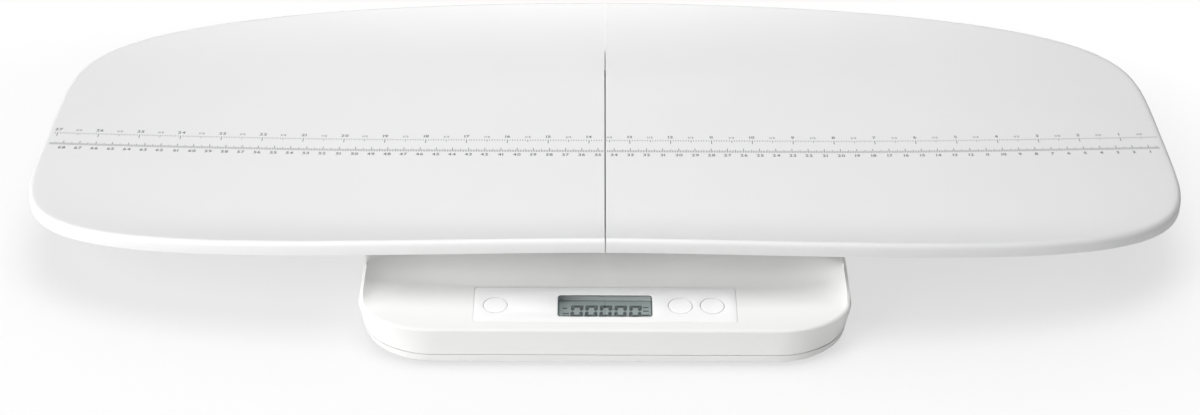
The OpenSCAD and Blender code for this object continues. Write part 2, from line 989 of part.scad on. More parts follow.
// Square steel plate with a tongue cut free on three sides.
module plate_piece(i) {
    tongue_low = -cell_plate_side / 2 + cell_frame;
    color("#c3c6c9")
        at_foot(i)
            translate([0, 0, cell_seat])
                difference() {
                    block(cell_plate_side, cell_plate_side, cell_plate_thickness);
                    for (side = [-1, 1])
                        translate([tongue_low, side * (cell_tongue + cell_slot) / 2 - cell_slot / 2, -over])
                            cube([cell_tongue_length, cell_slot, cell_plate_thickness + 2 * over]);
                    translate([tongue_low + cell_tongue_length - cell_slot, -cell_tongue / 2 - eps, -over])
                        cube([cell_slot, cell_tongue + 2 * eps, cell_plate_thickness + 2 * over]);
                }
}

module cell_plate_fl() {
    plate_piece(0);
}

module cell_plate_fr() {
    plate_piece(1);
}

module cell_plate_rl() {
    plate_piece(2);
}

module cell_plate_rr() {
    plate_piece(3);
}

module pad_piece(i) {
    color("#8c8e90")
        at_foot(i)
            difference() {
                cylinder(h = foot_pad_thickness, r = foot_pad_diameter / 2, $fn = arc_facets);
                translate([0, 0, -over])
                    difference() {
                        cylinder(h = pad_ring_depth + over, r = foot_pad_diameter / 2 - pad_ring_inset,
                            $fn = arc_facets);
                        cylinder(h = pad_ring_depth + over,
                            r = foot_pad_diameter / 2 - pad_ring_inset - pad_ring_width, $fn = arc_facets);
                    }
            }
}

module foot_pad_fl() {
    pad_piece(0);
}

module foot_pad_fr() {
    pad_piece(1);
}

module foot_pad_rl() {
    pad_piece(2);
}

module foot_pad_rr() {
    pad_piece(3);
}

module strain_gauges() {
    color("#c98a2e")
        for (i = [0:3])
            at_foot(i)
                translate([gauge_place, 0, cell_seat + cell_plate_thickness])
                    block(gauge_size[0], gauge_size[1], gauge_size[2]);
}

// ---------- batteries ----------

module at_batteries() {
    for (i = [0:battery_count - 1])
        translate([0, bay_middle + (i - (battery_count - 1) / 2) * battery_pitch,
            battery_low + battery_diameter / 2])
            mirror([i % 2, 0, 0])
                children();
}

module batteries() {
    color("#5f6b78")
        at_batteries()
            rotate([0, 90, 0])
                union() {
                    translate([0, 0, -battery_length / 2])
                        cylinder(h = battery_length - button_height, r = battery_diameter / 2,
                            $fn = arc_facets);
                    translate([0, 0, battery_length / 2 - 2 * button_height])
                        cylinder(h = 2 * button_height, r = button_radius, $fn = small_facets);
                }
}

contact_plane = bay_length / 2 - contact_thickness;

module battery_springs() {
    reach = contact_plane - battery_length / 2;
    pitch = (reach - 2 * spring_wire) / (spring_coils - 1);
    color("#c9ccd0")
        at_batteries()
            translate([-contact_plane, 0, 0])
                rotate([0, 90, 0])
                    rotate_extrude($fn = spring_facets)
                        for (k = [0:spring_coils - 1])
                            translate([spring_radius - spring_taper * k, spring_wire + k * pitch])
                                circle(r = spring_wire, $fn = wire_facets);
}

module battery_contacts() {
    color("#c9ccd0") {
        for (side = [-1, 1])
            translate([side * (contact_plane + contact_thickness / 2), bay_middle,
                battery_low + contact_lift])
                block(contact_thickness, battery_count * battery_pitch - battery_spacing, contact_height);
        at_batteries()
            translate([battery_length / 2, 0, 0])
                rotate([0, 90, 0])
                    cylinder(h = contact_plane - battery_length / 2 + contact_thickness / 2,
                        r = contact_button_radius, $fn = small_facets);
    }
}

// Door with a finger recess, and four tabs that grip the bay's long walls.
module battery_door() {
    reach = door_rebate - door_gap;
    tab_y = bay_depth / 2 - door_tab_gap - door_tab[1] / 2;
    color("#efefed")
        translate([0, bay_middle, underside_height])
            union() {
                difference() {
                    block(bay_length + 2 * reach, bay_depth + 2 * reach, door_thickness);
                    translate([0, bay_depth / 2 - door_grip_inset, -over])
                        slab(door_grip[0], door_grip[1], door_grip[2] + over, door_grip_corner);
                }
                for (sx = [-1, 1], sy = [-1, 1])
                    translate([sx * door_tab_across, sy * tab_y, door_thickness / 2])
                        block(door_tab[0], door_tab[1], door_tab[2] + door_thickness / 2);
            }
}

// ---------- tray ----------

// Share of a half-outline's depth at the length share u.
function depth_share(u) = pow(max(0, 1 - pow(u, outline_power_along)), 1 / outline_power_across);

function floor_rise(u) =
    rim_rise_end * pow(max(0, (u - level_share) / (1 - level_share)), end_rise_power);

function rim_rise(u) = rim_rise_end + (rim_rise_middle - rim_rise_end) * (1 - pow(u, rim_fall_power));

function wall_share(v) = pow(max(0, (v - wall_start_share) / (1 - wall_start_share)), wall_power);

// Height of the tray's upper face over the level floor.
function tray_face(x, y) =
    let (
        u = min(1, abs(x) / half_length),
        edge = depth_share(u) * (half_depth - rim_rounding),
        v = edge > eps ? min(1, abs(y) / edge) : 0
    )
    floor_rise(u) + (rim_rise(u) - floor_rise(u)) * wall_share(v);

function sign_power(value, power) = sign(value) * pow(abs(value), power);

// Point of the tray's outline at the angle a, from the front (-90) by the end to the back (90).
function rim_point(a) = [
    half_length * pow(max(0, cos(a)), 2 / outline_power_along),
    half_depth * sign_power(sin(a), 2 / outline_power_across)
];

// Outward direction of the outline at the point p.
function rim_normal(p) =
    let (
        gx = outline_power_along * pow(max(0, p[0]) / half_length, outline_power_along - 1) / half_length,
        gy = outline_power_across * sign_power(p[1] / half_depth, outline_power_across - 1) / half_depth,
        size = norm([gx, gy])
    )
    [gx / size, gy / size];

// Squeezes a half-outline point so that the half ends at the seam gap.
function seamed(p) = [seam_gap / 2 + p[0] * (half_length - seam_gap / 2) / half_length, p[1]];

function grid_point(p, share, drop) =
    let (q = seamed(p * share))
    [q[0], q[1], tray_face(q[0], q[1]) - drop];

// One cross-section of the shell, from the middle over the rim and back underneath.
function shell_section(a) =
    let (
        p = rim_point(a),
        n = rim_normal(p),
        inner = p - n * rim_rounding,
        under = p - n * tray_wall,
        crown = grid_point(inner, 1, 0)[2],
        rings = len(grid_rings)
    )
    concat(
        [for (share = grid_rings) grid_point(inner, share, 0)],
        [for (r = rim_steps)
            let (q = seamed(inner + n * rim_rounding * cos(r)))
                [q[0], q[1], crown - rim_rounding * (1 - sin(r))]],
        [let (q = seamed(p)) [q[0], q[1], crown - skirt_height]],
        [let (q = seamed(under)) [q[0], q[1], crown - skirt_height]],
        [for (i = [0:rings - 1]) grid_point(under, grid_rings[rings - 1 - i], tray_wall)]
    );

function quad(a, b, c, d) = [[a, c, b], [a, d, c]];

function flatten(lists) = [for (list = lists) each list];

// Closed shell of the right half, standing at floor level.
module tray_shell() {
    rings = len(grid_rings);
    count = 2 * rings + len(rim_steps) + 2;
    sections = [
        for (j = [0:grid_segments])
            shell_section(-90 + 180 * j / grid_segments)
    ];
    top_pole = count * (grid_segments + 1);
    low_pole = top_pole + 1;
    points = concat(
        flatten(sections),
        [[seam_gap / 2, 0, 0], [seam_gap / 2, 0, -tray_wall]]
    );
    last = grid_segments * count;
    skin = flatten([
        for (j = [0:grid_segments - 1], k = [0:count - 2])
            quad(j * count + k, j * count + k + 1, (j + 1) * count + k + 1, (j + 1) * count + k)
    ]);
    poles = flatten([
        for (j = [0:grid_segments - 1])
            [[top_pole, (j + 1) * count, j * count],
            [low_pole, j * count + count - 1, (j + 1) * count + count - 1]]
    ]);
    seam_rings = flatten([
        for (side = [0, 1], k = [0:rings - 2])
            let (s = side * last, q = quad(s + k, s + count - 1 - k, s + count - 2 - k, s + k + 1))
                side == 0 ? q : [for (f = q) [f[0], f[2], f[1]]]
    ]);
    seam_rims = flatten([
        for (side = [0, 1])
            let (s = side * last)
                [for (k = [rings - 1:count - rings - 2])
                    side == 0 ? [s + k, s + k + 1, s + count - rings] : [s + k, s + count - rings,
                        s + k + 1]]
    ]);
    seam_middle = concat(
        quad(top_pole, low_pole, count - 1, 0),
        quad(top_pole, last, last + count - 1, low_pole)
    );
    polyhedron(points = points, faces = concat(skin, poles, seam_rings, seam_rims, seam_middle));
}

module wing_rib(side) {
    start_u = wing_rib_start / half_length;
    end_u = wing_rib_end / half_length;
    hull() {
        translate([wing_rib_start, side * wing_rib_y, floor_rise(start_u) - tray_wall - wing_rib_depth])
            block(wing_rib_width, wing_rib_width, wing_rib_depth + tray_wall / 2);
        translate([wing_rib_end, side * wing_rib_y, floor_rise(end_u) - tray_wall - wing_rib_tip])
            block(wing_rib_width, wing_rib_width, wing_rib_tip + tray_wall / 2);
    }
}

// Right half: shell, seam flange, wing ribs and two locating pegs in one moulding.
module tray_half() {
    flange_low = flange_clearance - tray_wall - pad_stand - flange_depth;
    translate([0, tray_middle_y, tray_floor_height])
        union() {
            tray_shell();
            translate([flange_start, -flange_reach, flange_low])
                cube([flange_thickness, 2 * flange_reach, -flange_root - flange_low]);
            for (side = [-1, 1]) {
                wing_rib(side);
                translate([peg_across, side * peg_along, -tray_wall - pad_stand - socket_depth + peg_gap])
                    cylinder(h = socket_depth + pad_stand + tray_wall / 2, r = peg_diameter / 2,
                        $fn = small_facets);
            }
        }
}

module tray_right() {
    color("#f7f7f6")
        tray_half();
}

module tray_left() {
    color("#f7f7f6")
        mirror([1, 0, 0])
            tray_half();
}

module platform_pads() {
    color("#a9abad")
        both_sides()
            for (sy = [-1, 1])
                translate([pad_across, tray_middle_y + sy * pad_along, platform_height - pad_recess])
                    cylinder(h = pad_recess + pad_stand, r = pad_diameter / 2, $fn = arc_facets);
}

// ---------- output ----------

upper_housing();
lower_housing();
display_panel();
display_lens();
display_glass();
display_holder();
contact_strip();
circuit_board();
board_chips();
key_switches();
board_screws();
wire_sockets();
cell_cables();
battery_cables();
housing_screws();
foot_carrier_fl();
foot_carrier_fr();
foot_carrier_rl();
foot_carrier_rr();
cell_plate_fl();
cell_plate_fr();
cell_plate_rl();
cell_plate_rr();
foot_pad_fl();
foot_pad_fr();
foot_pad_rl();
foot_pad_rr();
strain_gauges();
batteries();
battery_springs();
battery_contacts();
platform_pads();
battery_door();
key_left();
key_middle();
key_right();
plunger_left();
plunger_middle();
plunger_right();
tray_left();
tray_right();
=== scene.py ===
"""Looks of a digital baby weighing scale, built around its fixed frame of CAD solids.

All shapes are worked out in millimetres in the frame of the solids: +X along the tray, +Y away from the
reader of the display, +Z up, origin on the table under the middle. They are turned to metres at the end.
"""

import math

import bmesh
import bpy
import numpy as np
from bpy.props import FloatProperty, FloatVectorProperty, PointerProperty
from mathutils import Matrix, Vector
from mathutils.geometry import delaunay_2d_cdt


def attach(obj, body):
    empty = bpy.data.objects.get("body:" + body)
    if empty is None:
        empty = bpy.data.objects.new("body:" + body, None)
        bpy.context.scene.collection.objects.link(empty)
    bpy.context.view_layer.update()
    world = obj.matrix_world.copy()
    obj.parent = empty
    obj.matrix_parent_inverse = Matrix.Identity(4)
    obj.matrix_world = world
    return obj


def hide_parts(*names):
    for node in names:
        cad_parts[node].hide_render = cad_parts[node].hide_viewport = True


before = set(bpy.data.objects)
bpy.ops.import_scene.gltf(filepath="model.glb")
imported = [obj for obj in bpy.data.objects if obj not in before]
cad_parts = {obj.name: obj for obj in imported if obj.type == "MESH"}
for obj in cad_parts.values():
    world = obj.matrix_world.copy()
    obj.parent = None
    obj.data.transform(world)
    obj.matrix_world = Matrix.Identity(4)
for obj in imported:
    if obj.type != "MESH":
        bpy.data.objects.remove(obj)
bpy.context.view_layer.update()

bl_info = {
    "name": "Baby Weighing Scale",
    "version": (1, 0, 0),
    "blender": (4, 5, 0),
    "location": "View3D > Sidebar > Scale",
    "description": "Dresses the solids of a baby weighing scale",
    "category": "Add Mesh",
}

# Metres in a millimetre.
MM = 0.001
# Doubled points closer than this many metres are merged, in new pieces and in copies of CAD nodes.
MERGE_REACH = 2e-6
COPY_MERGE_REACH = 1e-6
# Least divisor, so that no division is by nought.
TINY = 1e-12


def linear(code):
    """Turns an sRGB hex colour into linear red, green and blue."""
    values = np.array([int(code[i : i + 2], 16) for i in (1, 3, 5)]) / 255
    low = values / 12.92
    high = ((values + 0.055) / 1.055) ** 2.4
    return tuple(float(v) for v in np.where(values <= 0.04045, low, high))


# ---------- sizes and colours ----------


def length(name, description, millimetres):
    """A size property, kept in metres."""
    return FloatProperty(
        name=name,
        description=description,
        default=millimetres * MM,
        unit="LENGTH",
        subtype="DISTANCE",
        precision=5,
    )


def tint(name, description, code):
    """A colour property, from its sRGB hex value."""
    return FloatVectorProperty(
        name=name, description=description, default=linear(code), subtype="COLOR", size=3, min=0, max=1
    )


class ScaleSizes(bpy.types.PropertyGroup):
    """Sizes of the pieces that the looks are built from."""

    tray_length: length("Tray Length", "Left end to right end of the tray", 694)
    tray_depth: length("Tray Depth", "Front rim to back rim of the tray", 300)
    tray_wall: length("Tray Wall", "Thickness of the tray's floor and skirt", 3)
    rim_middle: length("Rim at Middle", "Height of the rim at the middle of a long side", 20)
    rim_end: length("Rim at Ends", "Height of the rim at the two ends", 4.2)
    skirt: length("Skirt Height", "Height of the rim's outer skirt", 8.3)
    seam: length("Seam", "Gap between the two tray halves", 0.8)
    base_width: length("Base Width", "Width of the base at its widest line", 283)
    base_depth: length("Base Depth", "Front to back of the base", 306)
    platform: length("Platform Height", "Height of the platform under the tray", 44)
    ledge_height: length("Ledge Height", "Height of the ledge's front edge", 25.5)
    ledge_depth: length("Ledge Depth", "Depth of the ledge along its slope", 39.2)
    edge_round: length("Edge Rounding", "Rounding of the base's upper edges", 1.6)
    window_width: length("Window Width", "Width of the display window", 54)
    window_depth: length("Window Depth", "Depth of the display window", 19)
    key_diameter: length("Key Diameter", "Diameter of a key", 13.4)


class ScaleColours(bpy.types.PropertyGroup):
    """Colours of the main materials."""

    tray: tint("Tray", "Satin white of the tray", "#f2f2f2")
    housing: tint("Housing", "Satin white of the base", "#f2f2f1")
    panel: tint("Panel", "White of the front panel's film", "#f8f8f8")
    print_grey: tint("Print", "Grey ink of the ruler", "#77797b")
    display: tint("Display", "Grey green of the display glass", "#aab4b4")
    digits: tint("Digits", "Dark grey of the display's segments", "#2c3536")
    floor: tint("Floor", "Pale floor under the scale", "#fdfdfd")


def millimetres(context):
    """The size properties as a plain dictionary in millimetres."""
    sizes = context.scene.scale_sizes
    return {key: getattr(sizes, key) / MM for key in ScaleSizes.__annotations__}


# ---------- surfaces ----------

# Half angle in radians from which a corner counts as straight.
STRAIGHT = 1.56
# Least radius of a rounded corner, and the tolerance of the Delaunay net, in millimetres.
LEAST_RADIUS = 0.02
NET_TOLERANCE = 1e-6


def grid_faces(rows, columns, closed=False):
    """Quads of a grid of points stored row by row. A closed grid joins its last column to its first."""
    row = np.arange(rows - 1)[:, None] * columns
    column = np.arange(columns if closed else columns - 1)[None, :]
    after = (column + 1) % columns
    quads = np.stack([row + column, row + after, row + columns + after, row + columns + column], -1)
    return quads.reshape(-1, 4)


def sheet(points, closed=False):
    """A part (points, faces) from an array of rows x columns x 3."""
    rows, columns = points.shape[:2]
    return points.reshape(-1, 3), [grid_faces(rows, columns, closed)]


def joined(*parts):
    """Several parts as one, with the face numbers moved on."""
    points, faces, start = [], [], 0
    for part_points, part_faces in parts:
        points.append(part_points)
        faces += [np.asarray(group) + start for group in part_faces]
        start += len(part_points)
    return np.concatenate(points), faces


def lathe(profile, sides=72):
    """Turns a profile of (radius, height) pairs round the Z axis: x = r cos t, y = r sin t, z = h."""
    profile = np.asarray(profile, float)
    turn = np.linspace(0, 2 * math.pi, sides, endpoint=False)
    points = np.empty((len(profile), sides, 3))
    points[..., 0] = profile[:, :1] * np.cos(turn)
    points[..., 1] = profile[:, :1] * np.sin(turn)
    points[..., 2] = profile[:, 1:]
    return sheet(points, closed=True)


def eased(corners, radii, steps=5):
    """Rounds the corners of an open line: each is swapped for an arc that touches both of its sides."""
    corners = np.asarray(corners, float)
    line = [corners[0]]
    for before, here, after, radius in zip(corners, corners[1:], corners[2:], radii):
        a, b = before - here, after - here
        a, b = a / np.linalg.norm(a), b / np.linalg.norm(b)
        half = math.acos(max(-1.0, min(1.0, float(a @ b)))) / 2
        if radius <= 0 or half > STRAIGHT:
            line.append(here)
            continue
        reach = radius / math.tan(half)
        centre = here + (a + b) / np.linalg.norm(a + b) * radius / math.sin(half)
        start, end = here + a * reach - centre, here + b * reach - centre
        total = math.acos(max(-1.0, min(1.0, float(start @ end) / radius**2)))
        share = np.linspace(0, 1, steps + 1)[:, None]
        arc = (start * np.sin((1 - share) * total) + end * np.sin(share * total)) / math.sin(total)
        line.extend(centre + arc)
    line.append(corners[-1])
    return np.array(line)


def moved(part, shift):
    """The part moved by shift."""
    return part[0] + np.asarray(shift, float), part[1]


def mirrored(part):
    """The part mirrored left to right, with its faces turned back outwards."""
    return part[0] * [-1, 1, 1], [np.asarray(group)[:, ::-1] for group in part[1]]


def rounded_loop(width, depth, corner, centre=(0, 0), steps=8):
    """The closed line of a rectangle with quarter-circle corners, as a function of how far it is grown."""

    def loop(offset):
        angles = np.linspace(0, math.pi / 2, steps + 1)
        radius = max(corner + offset, LEAST_RADIUS)
        x, y = width / 2 - corner, depth / 2 - corner
        quarters = [
            np.stack([sx * x + radius * np.cos(angles + turn), sy * y + radius * np.sin(angles + turn)], -1)
            for sx, sy, turn in ((1, 1, 0), (-1, 1, math.pi / 2), (-1, -1, math.pi), (1, -1, 1.5 * math.pi))
        ]
        return np.concatenate(quarters) + centre

    return loop


def round_loop(radius, centre=(0, 0), steps=64):
    """The closed line of a circle, as a function of how far it is grown."""

    def loop(offset):
        angles = np.linspace(0, 2 * math.pi, steps, endpoint=False)
        return np.stack([np.cos(angles), np.sin(angles)], -1) * (radius + offset) + centre

    return loop


def inside(points, loop):
    """Which points lie inside a closed line, by counting the crossings of a ray towards +X."""
    x, y = points[:, :1], points[:, 1:]
    a, b = loop, np.roll(loop, -1, axis=0)
    over = (a[None, :, 1] > y) != (b[None, :, 1] > y)
    rise = np.where(b[:, 1] == a[:, 1], TINY, b[:, 1] - a[:, 1])
    reach = a[None, :, 0] + (y - a[None, :, 1]) * (b[:, 0] - a[:, 0]) / rise
    return (over & (x < reach)).sum(1) % 2 == 1


def flat_face(outer, holes, height):
    """A level face inside a closed line, less its holes, as a constrained Delaunay net."""
    loops = [outer, *holes]
    points = [Vector(p) for loop in loops for p in loop]
    edges, start = [], 0
    for loop in loops:
        count = len(loop)
        edges += [(start + i, start + (i + 1) % count) for i in range(count)]
        start += count
    net = delaunay_2d_cdt(points, edges, [], 0, NET_TOLERANCE)
    flat = np.array([tuple(p) for p in net[0]])
    faces = np.array([face for face in net[2] if len(face) == 3])
    middle = flat[faces].mean(1)
    keep = inside(middle, outer)
    for hole in holes:
        keep &= ~inside(middle, hole)
    return np.column_stack([flat, np.full(len(flat), height)]), [faces[keep]]


def band(loops, heights):
    """Joins closed lines of equal count at their heights into a wall."""
    rings = [np.column_stack([loop, np.full(len(loop), h)]) for loop, h in zip(loops, heights)]
    return sheet(np.array(rings), closed=True)


def plate(outer, holes, top, bottom, edge, steps=3):
    """A flat plate with holes and rounded upper edges: the edge line runs in by edge(1 - cos t) as it rises
    by edge sin t, at the outside and round each hole."""
    turns = np.linspace(0, math.pi / 2, steps + 1)
    heights = [bottom, *(top - edge * (1 - np.sin(turns)))]
    run = [0, *(edge * (1 - np.cos(turns)))]
    parts = [band([outer(-r) for r in run], heights)]
    parts += [band([hole(r) for r in run], heights) for hole in holes]
    parts.append(flat_face(outer(-edge), [hole(edge) for hole in holes], top))
    parts.append(flat_face(outer(0), [hole(0) for hole in holes], bottom))
    return joined(*parts)


def bar(start, end, width, drops, chamfer=0.5):
    """A straight rib from start to end, width wide and drops deep at its two ends, with chamfered edges:
    its eight-sided section is carried along a line and drawn in at both ends."""
    start, end = np.asarray(start, float), np.asarray(end, float)
    along = (end - start) / np.linalg.norm(end - start)
    side = np.cross([0, 0, 1], along)
    side = side / np.linalg.norm(side)
    rings = []
    for share, draw in ((0, 1), (chamfer, 0), (-chamfer, 0), (0, 1)):
        first = len(rings) < 2
        base = start + along * share if first else end + along * share
        w = width / 2 - draw * chamfer
        d = drops[0] if first else drops[1]
        low, high, c = -d + draw * chamfer, -draw * chamfer, chamfer * 0.6
        section = [(w, low + c), (w, high - c), (w - c, high), (c - w, high), (-w, high - c), (-w, low + c)]
        section += [(c - w, low), (w - c, low)]
        rings.append([base + side * a + np.array([0, 0, b]) for a, b in section])
    points, faces = sheet(np.array(rings), closed=True)
    sides = len(rings[0])
    ends = [np.arange(sides)[None, ::-1], np.arange(len(points) - sides, len(points))[None, :]]
    return points, [*faces, *ends]


def compact(points, groups):
    """The points that some groups of faces use, and those groups with their numbers made to match."""
    used = np.unique(np.concatenate([group.ravel() for group in groups]))
    order = np.zeros(len(points), int)
    order[used] = np.arange(len(used))
    return points[used], [order[group] for group in groups if len(group)]


def piece(name, part, body, finish, replaces=(), sharp=32, outward=True):
    """Puts a part (millimetres) into a mesh object (metres) that rides on a body of the frame. Doubled points
    are merged, a closed shell's faces are turned outwards, and edges over the sharp angle stay hard. It is
    an error if nothing comes out."""
    points, groups = part
    points = np.asarray(points, float) * MM
    groups = [np.asarray(group) for group in groups if len(group)]
    corners = np.concatenate([group.ravel() for group in groups])
    sizes = np.concatenate([np.full(len(group), group.shape[1]) for group in groups])
    mesh = bpy.data.meshes.new(name)
    mesh.vertices.add(len(points))
    mesh.vertices.foreach_set("co", points.ravel())
    mesh.loops.add(len(corners))
    mesh.loops.foreach_set("vertex_index", corners.astype(np.int32))
    mesh.polygons.add(len(sizes))
    mesh.polygons.foreach_set("loop_start", (np.cumsum(sizes) - sizes).astype(np.int32))
    mesh.update(calc_edges=True)
    mesh.validate()
    shape = bmesh.new()
    shape.from_mesh(mesh)
    bmesh.ops.remove_doubles(shape, verts=shape.verts, dist=MERGE_REACH)
    if outward:
        bmesh.ops.recalc_face_normals(shape, faces=shape.faces)
    shape.to_mesh(mesh)
    shape.free()
    if not mesh.polygons:
        raise RuntimeError(f"{name} came out empty")
    mesh.shade_smooth()
    mesh.set_sharp_from_angle(angle=math.radians(sharp))
    mesh.materials.append(finish)
    made = bpy.data.objects.new(name, mesh)
    bpy.context.scene.collection.objects.link(made)
    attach(made, body)
    if replaces:
        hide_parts(*replaces)
    return made


def dress(node, finish):
    """Gives a CAD node a finish in place of the plain one that it came with."""
    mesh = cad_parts[node].data
    mesh.materials.clear()
    mesh.materials.append(finish)


def copied(node):
    """Points (millimetres), triangles and face normals of a CAD node, as a copy with its doubles merged."""
    shape = bmesh.new()
    shape.from_mesh(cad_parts[node].data)
    bmesh.ops.remove_doubles(shape, verts=shape.verts, dist=COPY_MERGE_REACH)
    bmesh.ops.triangulate(shape, faces=shape.faces)
    shape.verts.index_update()
    points = np.array([tuple(v.co) for v in shape.verts]) / MM
    faces = np.array([[v.index for v in face.verts] for face in shape.faces])
    shape.free()
    a, b, c = points[faces[:, 0]], points[faces[:, 1]], points[faces[:, 2]]
    normal = np.cross(b - a, c - a)
    size = np.linalg.norm(normal, axis=1, keepdims=True)
    return points, faces, normal / np.maximum(size, TINY)


# ---------- materials ----------


def add_node(tree, kind, inputs=None, **settings):
    """Adds one shader node, with its settings, and with each input set to a value or linked to a socket."""
    node = tree.nodes.new("ShaderNode" + kind)
    for name, value in settings.items():
        setattr(node, name, value)
    for key, value in (inputs or {}).items():
        if isinstance(value, bpy.types.NodeSocket):
            tree.links.new(value, node.inputs[key])
        else:
            node.inputs[key].default_value = value
    return node


def new_material(name):
    """An empty node material, its tree and its output node."""
    material = bpy.data.materials.new(name)
    material.use_nodes = True
    tree = material.node_tree
    tree.nodes.clear()
    return material, tree, add_node(tree, "OutputMaterial")


def noise(tree, place, width, detail, roughness=0.5):
    """The value of a noise whose features are about width millimetres wide."""
    inputs = {"Vector": place, "Scale": 1000 / width, "Detail": detail, "Roughness": roughness}
    return add_node(tree, "TexNoise", inputs).outputs["Fac"]


def spread(tree, value, low, high, start=0.0, end=1.0):
    """A value that runs from start to end, spread over low to high."""
    inputs = {"Value": value, "From Min": start, "From Max": end, "To Min": low, "To Max": high}
    return add_node(tree, "MapRange", inputs).outputs["Result"]


def surfaced(tree, out, patches, tones, fine, gloss, relief, strength, extra):
    """Ends a material in the main surface shader: patches of two tones, roughness that follows a fine noise
    between the two values of gloss, and the noise's relief in millimetres."""
    inputs = {0: patches, 6: (*tones[0], 1.0), 7: (*tones[1], 1.0)}
    shade = add_node(tree, "Mix", inputs, data_type="RGBA")
    bump = add_node(tree, "Bump", {"Height": fine, "Distance": relief * MM, "Strength": strength})
    inputs = {
        "Base Color": shade.outputs[2],
        "Roughness": spread(tree, fine, *gloss),
        "Normal": bump.outputs["Normal"],
        **extra,
    }
    shader = add_node(tree, "BsdfPrincipled", inputs)
    tree.links.new(shader.outputs["BSDF"], out.inputs["Surface"])


# Width in millimetres of the drift of tone in a moulding, of the clouds in a plating and of polish haze.
FLOW_WIDTH = 60
CLOUD_WIDTH = 6
HAZE_WIDTH = 4
# How far a moulding's roughness wanders each way, and how much duller a plating's clouds are.
GLOSS_DRIFT = 0.06
CLOUD_SHADE = 0.86
# Depth of a metal's scratches in millimetres.
SCRATCH_DEPTH = 0.004


def moulded(name, colour, roughness, grain, relief, tone, ior):
    """A moulded plastic: fine grain of the given size and relief in millimetres, a slow drift of tone from
    the melt's flow, and roughness that wanders a little where the mould was polished."""
    material, tree, out = new_material(name)
    place = add_node(tree, "TexCoord").outputs["Object"]
    drift = noise(tree, place, FLOW_WIDTH, 2.0)
    fine = noise(tree, place, grain, 3.0, 0.6)
    tones = [c * (1 - tone) for c in colour], [min(1.0, c * (1 + tone / 3)) for c in colour]
    gloss = (roughness - GLOSS_DRIFT, roughness + GLOSS_DRIFT)
    surfaced(tree, out, drift, tones, fine, gloss, relief, 0.6, {"IOR": ior})
    return material


def worked_metal(name, colour, roughness, scratch, stretch):
    """A worked metal: fine scratches of the given width in millimetres, drawn out along an axis by stretch,
    and clouds of duller plating."""
    material, tree, out = new_material(name)
    place = add_node(tree, "TexCoord").outputs["Object"]
    drawn = add_node(tree, "Mapping", {"Vector": place, "Scale": stretch})
    fine = noise(tree, drawn.outputs[0], scratch, 4.0)
    cloud = noise(tree, place, CLOUD_WIDTH, 3.0)
    tones = [c * CLOUD_SHADE for c in colour], colour
    gloss = (roughness - 0.08, roughness + 0.1)
    surfaced(tree, out, cloud, tones, fine, gloss, SCRATCH_DEPTH, 0.5, {"Metallic": 1.0})
    return material


def clear_window(name):
    """Clear polycarbonate: a thin sheet that lets nearly all light straight through and mirrors a small
    constant share of it, with a faint polish haze in the mirrored part."""
    material, tree, out = new_material(name)
    place = add_node(tree, "TexCoord").outputs["Object"]
    haze = spread(tree, noise(tree, place, HAZE_WIDTH, 3.0), 0.04, 0.09)
    through = add_node(tree, "BsdfTransparent", {"Color": (0.97, 0.985, 0.98, 1)})
    gloss = add_node(tree, "BsdfGlossy", {"Color": (1, 1, 1, 1), "Roughness": haze})
    mixed = add_node(tree, "MixShader", {0: 0.06, 1: through.outputs[0], 2: gloss.outputs[0]})
    tree.links.new(mixed.outputs[0], out.inputs["Surface"])
    return material


